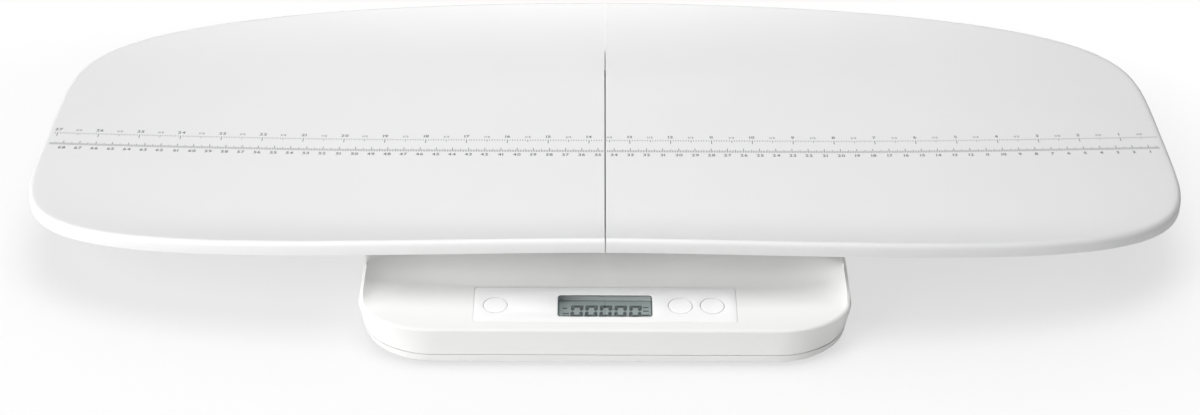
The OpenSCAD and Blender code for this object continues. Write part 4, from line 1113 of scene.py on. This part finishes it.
class SCALE_OT_upper_housing(bpy.types.Operator):
    """Build the upper housing with its ledge, rounded edges and seats"""

    bl_idname = "scale.upper_housing"
    bl_label = "Upper Housing"

    def execute(self, context):
        size = millimetres(context)
        slot = "housing_abs"
        paint = FINISHES[slot]
        outside, inside_part = base_skin(size), hidden_side(size)
        piece("upper_housing_shell", outside, "base", paint, ("upper_housing",), sharp=30)
        piece("upper_housing_inside", inside_part, "base", paint, sharp=30, outward=False)
        return {"FINISHED"}


class SCALE_OT_lower_housing(bpy.types.Operator):
    """Finish the lower housing"""

    bl_idname = "scale.lower_housing"
    bl_label = "Lower Housing"

    def execute(self, context):
        size = millimetres(context)
        slot = "housing_abs_lower"
        paint = FINISHES[slot]
        replaced = ("lower_housing",)
        piece("lower_housing_shell", lower_skin(size), "base", paint, replaced, sharp=30, outward=False)
        dress("battery_door", paint)
        return {"FINISHED"}


# ---------- display and keys ----------

# In the ledge's own frame: the keys' places, their row and the gap round them, and the middles of the window
# and of the panel.
KEY_PLACES = (-62.7, 43.0, 61.3)
KEY_ROW = 22.6
KEY_GAP = 0.3
WINDOW_MIDDLE = 22.2
PANEL_MIDDLE = 23.2
# The panel's width and depth, thickness and edge rounding, the size of the well over the display glass, and
# how much wider than the window the lens's flange is.
PANEL_SIZE = (150, 30.6)
PANEL_THICK = 1.0
PANEL_EDGE = 0.22
WELL_SIZE = (56, 21)
FLANGE = 6
# The glass's face under the ledge, and the digits: their places, row and size, the width of a segment, half
# the gap between two of them, and the lean to the right.
GLASS_TOP = -5.0
DIGIT_PLACES = (-16.1, -7.85, 0.45, 8.9, 17.4)
DIGIT_ROW = WINDOW_MIDDLE + 1.1
DIGIT_SIZE = (7.1, 10.2)
SEGMENT_WIDTH = 2.1
SEGMENT_GAP = 0.14
DIGIT_LEAN = math.radians(3)
# Plain bars and points beside the digits: place over the digits' row, width and height.
DISPLAY_MARKS = (
    (-23.0, 2.4, 2.6, 1.1),
    (-22.4, -2.2, 3.6, 1.0),
    (-22.4, -4.2, 3.6, 0.8),
    (23.4, 3.4, 3.2, 1.1),
    (23.4, 0.2, 3.2, 1.1),
    (23.2, -3.6, 4.4, 1.6),
    (-3.7, -4.5, 0.9, 0.9),
    (4.7, -4.5, 0.9, 0.9),
    (4.7, 1.6, 0.8, 0.8),
)


def segment_digit(width, height, stroke, lean):
    """The six outer segments of a seven-segment zero. Each end at a corner is cut at 45 degrees and each end
    at the middle is a point, with a thin gap between the segments. The digit leans to the right."""
    w, h, t, gap = width / 2, height / 2, stroke, SEGMENT_GAP
    level = [(-w + gap, h), (w - gap, h), (w - t - gap, h - t), (gap + t - w, h - t)]
    waist = t / 2 + gap
    upright = [(w, h - gap), (w, waist), (w - t / 2, gap), (w - t, waist), (w - t, h - t - gap)]
    parts = []
    for outline in (level, upright):
        for across, up in ((1, 1), (-1, 1), (1, -1), (-1, -1)):
            if outline is level and across < 0:
                continue
            flat = np.array(outline) * [across, up]
            flat = flat if across * up < 0 else flat[::-1]
            flat[:, 0] += flat[:, 1] * math.tan(lean)
            parts.append((np.column_stack([flat, np.zeros(len(flat))]), [np.arange(len(flat))[None, :]]))
    return joined(*parts)


def strokes(rows):
    """Flat bars, each given by its middle, width and height."""
    parts = []
    for x, y, width, height in rows:
        corners = np.array([[-1, -1], [1, -1], [1, 1], [-1, 1]]) * [width / 2, height / 2] + [x, y]
        parts.append((np.column_stack([corners, np.zeros(4)]), [np.arange(4)[None, :]]))
    return joined(*parts)


class SCALE_OT_display(bpy.types.Operator):
    """Build the front panel, the window and the display behind it"""

    bl_idname = "scale.display"
    bl_label = "Display"

    def execute(self, context):
        size = millimetres(context)
        window = rounded_loop(size["window_width"], size["window_depth"], 2, (0, WINDOW_MIDDLE))
        outer = rounded_loop(*PANEL_SIZE, 2, (0, PANEL_MIDDLE))
        keys = [round_loop(size["key_diameter"] / 2 + KEY_GAP, (x, KEY_ROW), 96) for x in KEY_PLACES]
        panel = plate(outer, [lambda o: window(o + 0.1), *keys], 0.0, -PANEL_THICK, PANEL_EDGE)
        flange_size = (size["window_width"] + FLANGE, size["window_depth"] + FLANGE)
        flange = rounded_loop(*flange_size, 0.3, (0, WINDOW_MIDDLE))
        lens = joined(
            band([window(-0.3), window(-0.1), window(0), window(0)], [-0.02, -0.1, -0.32, -1.0]),
            flat_face(window(-0.3), [], -0.02),
            flat_face(flange(-0.1), [window(0)], -1.0),
            band([flange(-0.1), flange(0), flange(0)], [-1.0, -1.1, -2.0]),
            flat_face(flange(0), [], -2.0),
        )
        for name, part, slot, node in (
            ("front_panel", panel, "panel_film", "display_panel"),
            ("window_lens", lens, "display_lens", "display_lens"),
        ):
            piece(name, on_ledge(part, size), "base", FINISHES[slot], (node,))
        dress("display_glass", FINISHES["lcd_glass"])

        digit = segment_digit(*DIGIT_SIZE, SEGMENT_WIDTH, DIGIT_LEAN)
        marks = moved(strokes(DISPLAY_MARKS), (0, DIGIT_ROW, 0))
        shown = joined(*[moved(digit, (x, DIGIT_ROW, 0)) for x in DIGIT_PLACES], marks)
        # Painted shade: a dark ring on the glass along the well's wall, for the shaded gap where wall meets
        # glass.
        well = rounded_loop(*WELL_SIZE, 0.4, (0, WINDOW_MIDDLE))
        glass_edge_shade = flat_face(well(-0.05), [well(-1.3)], 0)
        # Painted shade: a dark ring on the lens along the window's edge, for the shaded gap between film and
        # lens.
        line = flat_face(window(-0.32), [window(-0.85)], -0.01)
        for name, part, height, finish in (
            ("display_segments", shown, GLASS_TOP + PRINT_LIFT, "lcd_segments"),
            ("display_border", glass_edge_shade, GLASS_TOP + PRINT_LIFT, "lcd_segments"),
            ("window_outline_print", line, 0, "window_ink"),
        ):
            placed = on_ledge(moved(part, (0, 0, height)), size)
            piece(name, placed, "base", FINISHES[finish], outward=False)
        return {"FINISHED"}


def key_cap(size):
    """A key: a shallow dished cap with a rounded edge, the stop flange under it and the stem."""
    radius = size["key_diameter"] / 2
    dish = [(radius * s, -0.12 * (1 - s * s)) for s in np.linspace(0, 0.9, 8)]
    profile = dish + [(radius - 0.25, -0.02), (radius - 0.08, -0.08), (radius, -0.3), (radius, -3.1)]
    profile += [(radius + 1.2, -3.1), (radius + 1.3, -3.2), (radius + 1.3, -3.8), (radius + 1.2, -3.9)]
    profile += [(2.2, -3.9), (2.2, -4.75), (2.05, -4.9), (0, -4.9)]
    return lathe(profile, 96)


class SCALE_OT_keys(bpy.types.Operator):
    """Build the three keys"""

    bl_idname = "scale.keys"
    bl_label = "Keys"

    def execute(self, context):
        size = millimetres(context)
        for name, x in zip(("key_left", "key_middle", "key_right"), KEY_PLACES):
            cap = on_ledge(moved(key_cap(size), (x, KEY_ROW, 0)), size)
            piece(name + "_cap", cap, name, FINISHES["key_abs"], (name,))
            dress(name.replace("key", "plunger"), FINISHES["plunger_grey"])
        return {"FINISHED"}


# ---------- feet, batteries and inner pieces ----------

# Places of the feet, and a pad's section as radius and height with the rounding of its inner corners.
FEET = {"fl": (-102, -112), "fr": (102, -112), "rl": (-102, 104), "rr": (102, 104)}
PAD_SECTION = [(0, 0), (13, 0), (13, 0.5), (15, 0.5), (15, 0), (19, 0), (19, 2.2), (0, 2.2)]
PAD_ROUNDING = (0.12, 0.1, 0.1, 0.12, 0.5, 0.2)
# Slots of the CAD nodes that keep their shape and only get a finish.
INNER_SLOTS = {
    "display_holder": "holder_abs",
    "contact_strip": "silicone_strip",
    "circuit_board": "board_green",
    "board_chips": "chip_black",
    "key_switches": "switch_black",
    "board_screws": "zinc_steel",
    "wire_sockets": "socket_nylon",
    "cell_cables": "cable_grey",
    "battery_cables": "cable_red",
    "housing_screws": "zinc_steel",
    "batteries": "battery_sleeve",
    "battery_springs": "contact_nickel",
    "battery_contacts": "contact_nickel",
    "platform_pads": "pad_silicone",
}


class SCALE_OT_feet(bpy.types.Operator):
    """Build the rubber foot pads and finish the load cells over them"""

    bl_idname = "scale.feet"
    bl_label = "Feet"

    def execute(self, context):
        profile = eased(PAD_SECTION, PAD_ROUNDING)
        for corner, (x, y) in FEET.items():
            pad = moved(lathe(profile, 96), (x, y, 0))
            node = "foot_pad_" + corner
            piece(node + "_rubber", pad, "base", FINISHES["foot_rubber"], (node,))
            dress("foot_carrier_" + corner, FINISHES["carrier_abs"])
            dress("cell_plate_" + corner, FINISHES["cell_steel"])
        dress("strain_gauges", FINISHES["gauge_amber"])
        return {"FINISHED"}


class SCALE_OT_inner_pieces(bpy.types.Operator):
    """Finish the pieces inside the base"""

    bl_idname = "scale.inner_pieces"
    bl_label = "Inner Pieces"

    def execute(self, context):
        for node, slot in INNER_SLOTS.items():
            dress(node, FINISHES[slot])
        return {"FINISHED"}


# ---------- stage ----------


# Area lamps that all face the origin: name, place and size in metres, power in watts.
LAMPS = (
    ("overhead_lamp", (0, -0.2, 1.55), (0.9, 0.9), 15.5),
    ("left_front_high_lamp", (-1.4, -1.4, 1.6), (1.0, 1.0), 19),
    ("left_front_low_lamp", (-2.17, -1.25, 0.5), (1.0, 0.6), 22),
    ("left_lamp", (-2.5, 0, 0.5), (1.0, 0.6), 7.5),
    ("back_lamp", (0, 2.2, 0.9), (1.6, 0.6), 6.7),
)
# The camera's place in millimetres, its turns in degrees and its lens in millimetres.
CAMERA_PLACE = (-4.3, -1247.4, 776.3)
CAMERA_DOWN, CAMERA_YAW, CAMERA_ROLL = 31.69, 0.06, 0.26
CAMERA_LENS = 70.06
# The floor: half its side in metres, the width of its paper's grain and the grain's depth in millimetres.
FLOOR_REACH = 12.0
PAPER_GRAIN = 1.5
PAPER_RELIEF = 0.01
# Its glow for camera rays is dimmed where it is enclosed, a painted shade round and under the scale: how
# far that is felt in millimetres, the openness over which it dims, and the least and full glow.
PAINTED_SHADE_REACH = 160
OPENNESS = (0.55, 0.96)
GLOW = (0.87, 1.0)
# The glow's share grows from the first to the second value of GLOW_SHARE as the sum of the fourth powers of
# x and y, each as a share of POOL_REACH (metres), goes through POOL_EDGE. POOL_SHIFT moves the pool's middle.
POOL_REACH = (0.45, 0.245)
POOL_SHIFT = 0.1
POOL_EDGE = (0.4, 1.3)
GLOW_SHARE = (0.75, 1.0)
# Strength of the world's light on objects.
WORLD_LIGHT = 0.04
WHITE = (1, 1, 1, 1)


def soft_lamp(name, place, size, power):
    """A rectangular area lamp that faces the origin."""
    lamp = bpy.data.lights.new(name, "AREA")
    lamp.shape = "RECTANGLE"
    lamp.size, lamp.size_y = size
    lamp.energy = power
    holder = bpy.data.objects.new(name, lamp)
    holder.location = place
    holder.rotation_euler = (Vector() - Vector(place)).to_track_quat("-Z", "Y").to_euler()
    bpy.context.scene.collection.objects.link(holder)


def camera_pose():
    """The camera's place and turn: it looks along +Y and down, with a trace of yaw and roll."""
    down, yaw, roll = (math.radians(turn) for turn in (CAMERA_DOWN, CAMERA_YAW, CAMERA_ROLL))
    look = Vector((math.sin(yaw) * math.cos(down), math.cos(yaw) * math.cos(down), -math.sin(down)))
    right = Vector((math.cos(yaw), -math.sin(yaw), 0))
    up = right.cross(look)
    right, up = right * math.cos(roll) + up * math.sin(roll), up * math.cos(roll) - right * math.sin(roll)
    turn = Matrix((right, up, -look)).transposed().to_4x4()
    return Matrix.Translation(Vector(CAMERA_PLACE) * MM) @ turn


def floor_paper(colour):
    """Pale matt paper with a fine tooth. For the camera it is mixed with a white glow, so that it goes over
    into the white of the world far off. Near the scale the paper's own shade shows through a little, and the
    glow is dimmed where the floor is enclosed: a painted shade round and under the scale."""
    material, tree, out = new_material("pale_floor_paper")
    place = add_node(tree, "TexCoord").outputs["Object"]
    grain = noise(tree, place, PAPER_GRAIN, 2.0)
    bump = add_node(tree, "Bump", {"Height": grain, "Distance": PAPER_RELIEF * MM, "Strength": 0.2})
    inputs = {"Color": (*colour, 1.0), "Normal": bump.outputs["Normal"]}
    paper = add_node(tree, "BsdfDiffuse", inputs)
    # Painted shade: the glow is dimmed by how enclosed the floor is, round and under the scale.
    painted_shade_occlusion = add_node(tree, "AmbientOcclusion", {"Distance": PAINTED_SHADE_REACH * MM}, samples=8)
    glow_with_painted_shade = spread(tree, painted_shade_occlusion.outputs["AO"], *GLOW, *OPENNESS)
    glow = add_node(tree, "Emission", {"Color": WHITE, "Strength": glow_with_painted_shade})
    inputs = {
        "Vector": place,
        "Location": (POOL_SHIFT, 0, 0),
        "Scale": (1 / POOL_REACH[0], 1 / POOL_REACH[1], 1),
    }
    shares = add_node(tree, "Mapping", inputs)
    apart = add_node(tree, "SeparateXYZ", {0: shares.outputs[0]})
    powers = [
        add_node(tree, "Math", {0: apart.outputs[axis], 1: 4.0}, operation="POWER").outputs[0]
        for axis in (0, 1)
    ]
    far = add_node(tree, "Math", {0: powers[0], 1: powers[1]}, operation="ADD")
    pale = spread(tree, far.outputs[0], *GLOW_SHARE, *POOL_EDGE)
    inputs = {0: add_node(tree, "LightPath").outputs["Is Camera Ray"], 1: pale}
    seen = add_node(tree, "Math", inputs, operation="MULTIPLY", use_clamp=True)
    mixed = add_node(tree, "MixShader", {0: seen.outputs[0], 1: paper.outputs[0], 2: glow.outputs[0]})
    tree.links.new(mixed.outputs[0], out.inputs["Surface"])
    return material


def studio_world():
    """A world that is white to the camera and only a faint even light on objects."""
    world = bpy.data.worlds.new("studio")
    world.use_nodes = True
    tree = world.node_tree
    tree.nodes.clear()
    out = add_node(tree, "OutputWorld")
    camera_ray = add_node(tree, "LightPath").outputs["Is Camera Ray"]
    soft = add_node(tree, "Background", {"Color": WHITE, "Strength": WORLD_LIGHT})
    white = add_node(tree, "Background", {"Color": WHITE, "Strength": 1.0})
    mixed = add_node(tree, "MixShader", {0: camera_ray, 1: soft.outputs[0], 2: white.outputs[0]})
    tree.links.new(mixed.outputs[0], out.inputs["Surface"])
    return world


class SCALE_OT_stage(bpy.types.Operator):
    """Lay the floor and set the light and the camera"""

    bl_idname = "scale.stage"
    bl_label = "Stage"

    def execute(self, context):
        scene = context.scene
        corners = [(x * FLOOR_REACH, y * FLOOR_REACH, 0) for x, y in ((-1, -1), (1, -1), (1, 1), (-1, 1))]
        mesh = bpy.data.meshes.new("floor")
        mesh.from_pydata(corners, [], [[0, 1, 2, 3]])
        mesh.materials.append(floor_paper(scene.scale_colours.floor))
        floor = bpy.data.objects.new("floor", mesh)
        scene.collection.objects.link(floor)
        scene.world = studio_world()
        for name, place, size, power in LAMPS:
            soft_lamp(name, place, size, power)

        camera = bpy.data.cameras.new("camera")
        camera.lens = CAMERA_LENS
        camera.sensor_width = 36
        camera.sensor_fit = "HORIZONTAL"
        camera.clip_start, camera.clip_end = 0.01, 100
        holder = bpy.data.objects.new("camera", camera)
        holder.matrix_world = camera_pose()
        scene.collection.objects.link(holder)
        scene.camera = holder
        scene.view_settings.view_transform = "Standard"
        return {"FINISHED"}


# ---------- add-on ----------

OPERATORS = (
    SCALE_OT_stage,
    SCALE_OT_tray_halves,
    SCALE_OT_ruler_print,
    SCALE_OT_upper_housing,
    SCALE_OT_lower_housing,
    SCALE_OT_display,
    SCALE_OT_keys,
    SCALE_OT_feet,
    SCALE_OT_inner_pieces,
)


class SCALE_PT_panel(bpy.types.Panel):
    """Panel in the 3D view's sidebar with the sizes, the colours and the steps"""

    bl_idname = "SCALE_PT_panel"
    bl_label = "Baby Weighing Scale"
    bl_space_type = "VIEW_3D"
    bl_region_type = "UI"
    bl_category = "Scale"

    def draw(self, context):
        for group in (context.scene.scale_sizes, context.scene.scale_colours):
            column = self.layout.column()
            for key in type(group).__annotations__:
                column.prop(group, key)
        for step in OPERATORS:
            self.layout.operator(step.bl_idname)


CLASSES = (ScaleSizes, ScaleColours, *OPERATORS, SCALE_PT_panel)


def register():
    """Registers the classes and hangs the property groups on the scene."""
    for item in CLASSES:
        bpy.utils.register_class(item)
    bpy.types.Scene.scale_sizes = PointerProperty(type=ScaleSizes)
    bpy.types.Scene.scale_colours = PointerProperty(type=ScaleColours)


def unregister():
    """Undoes register."""
    del bpy.types.Scene.scale_colours
    del bpy.types.Scene.scale_sizes
    for item in reversed(CLASSES):
        bpy.utils.unregister_class(item)


def main():
    """Registers the add-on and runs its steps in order."""
    register()
    make_finishes(bpy.context.scene.scale_colours)
    for step in OPERATORS:
        group, name = step.bl_idname.split(".")
        getattr(getattr(bpy.ops, group), name)()


if __name__ == "__main__":
    main()
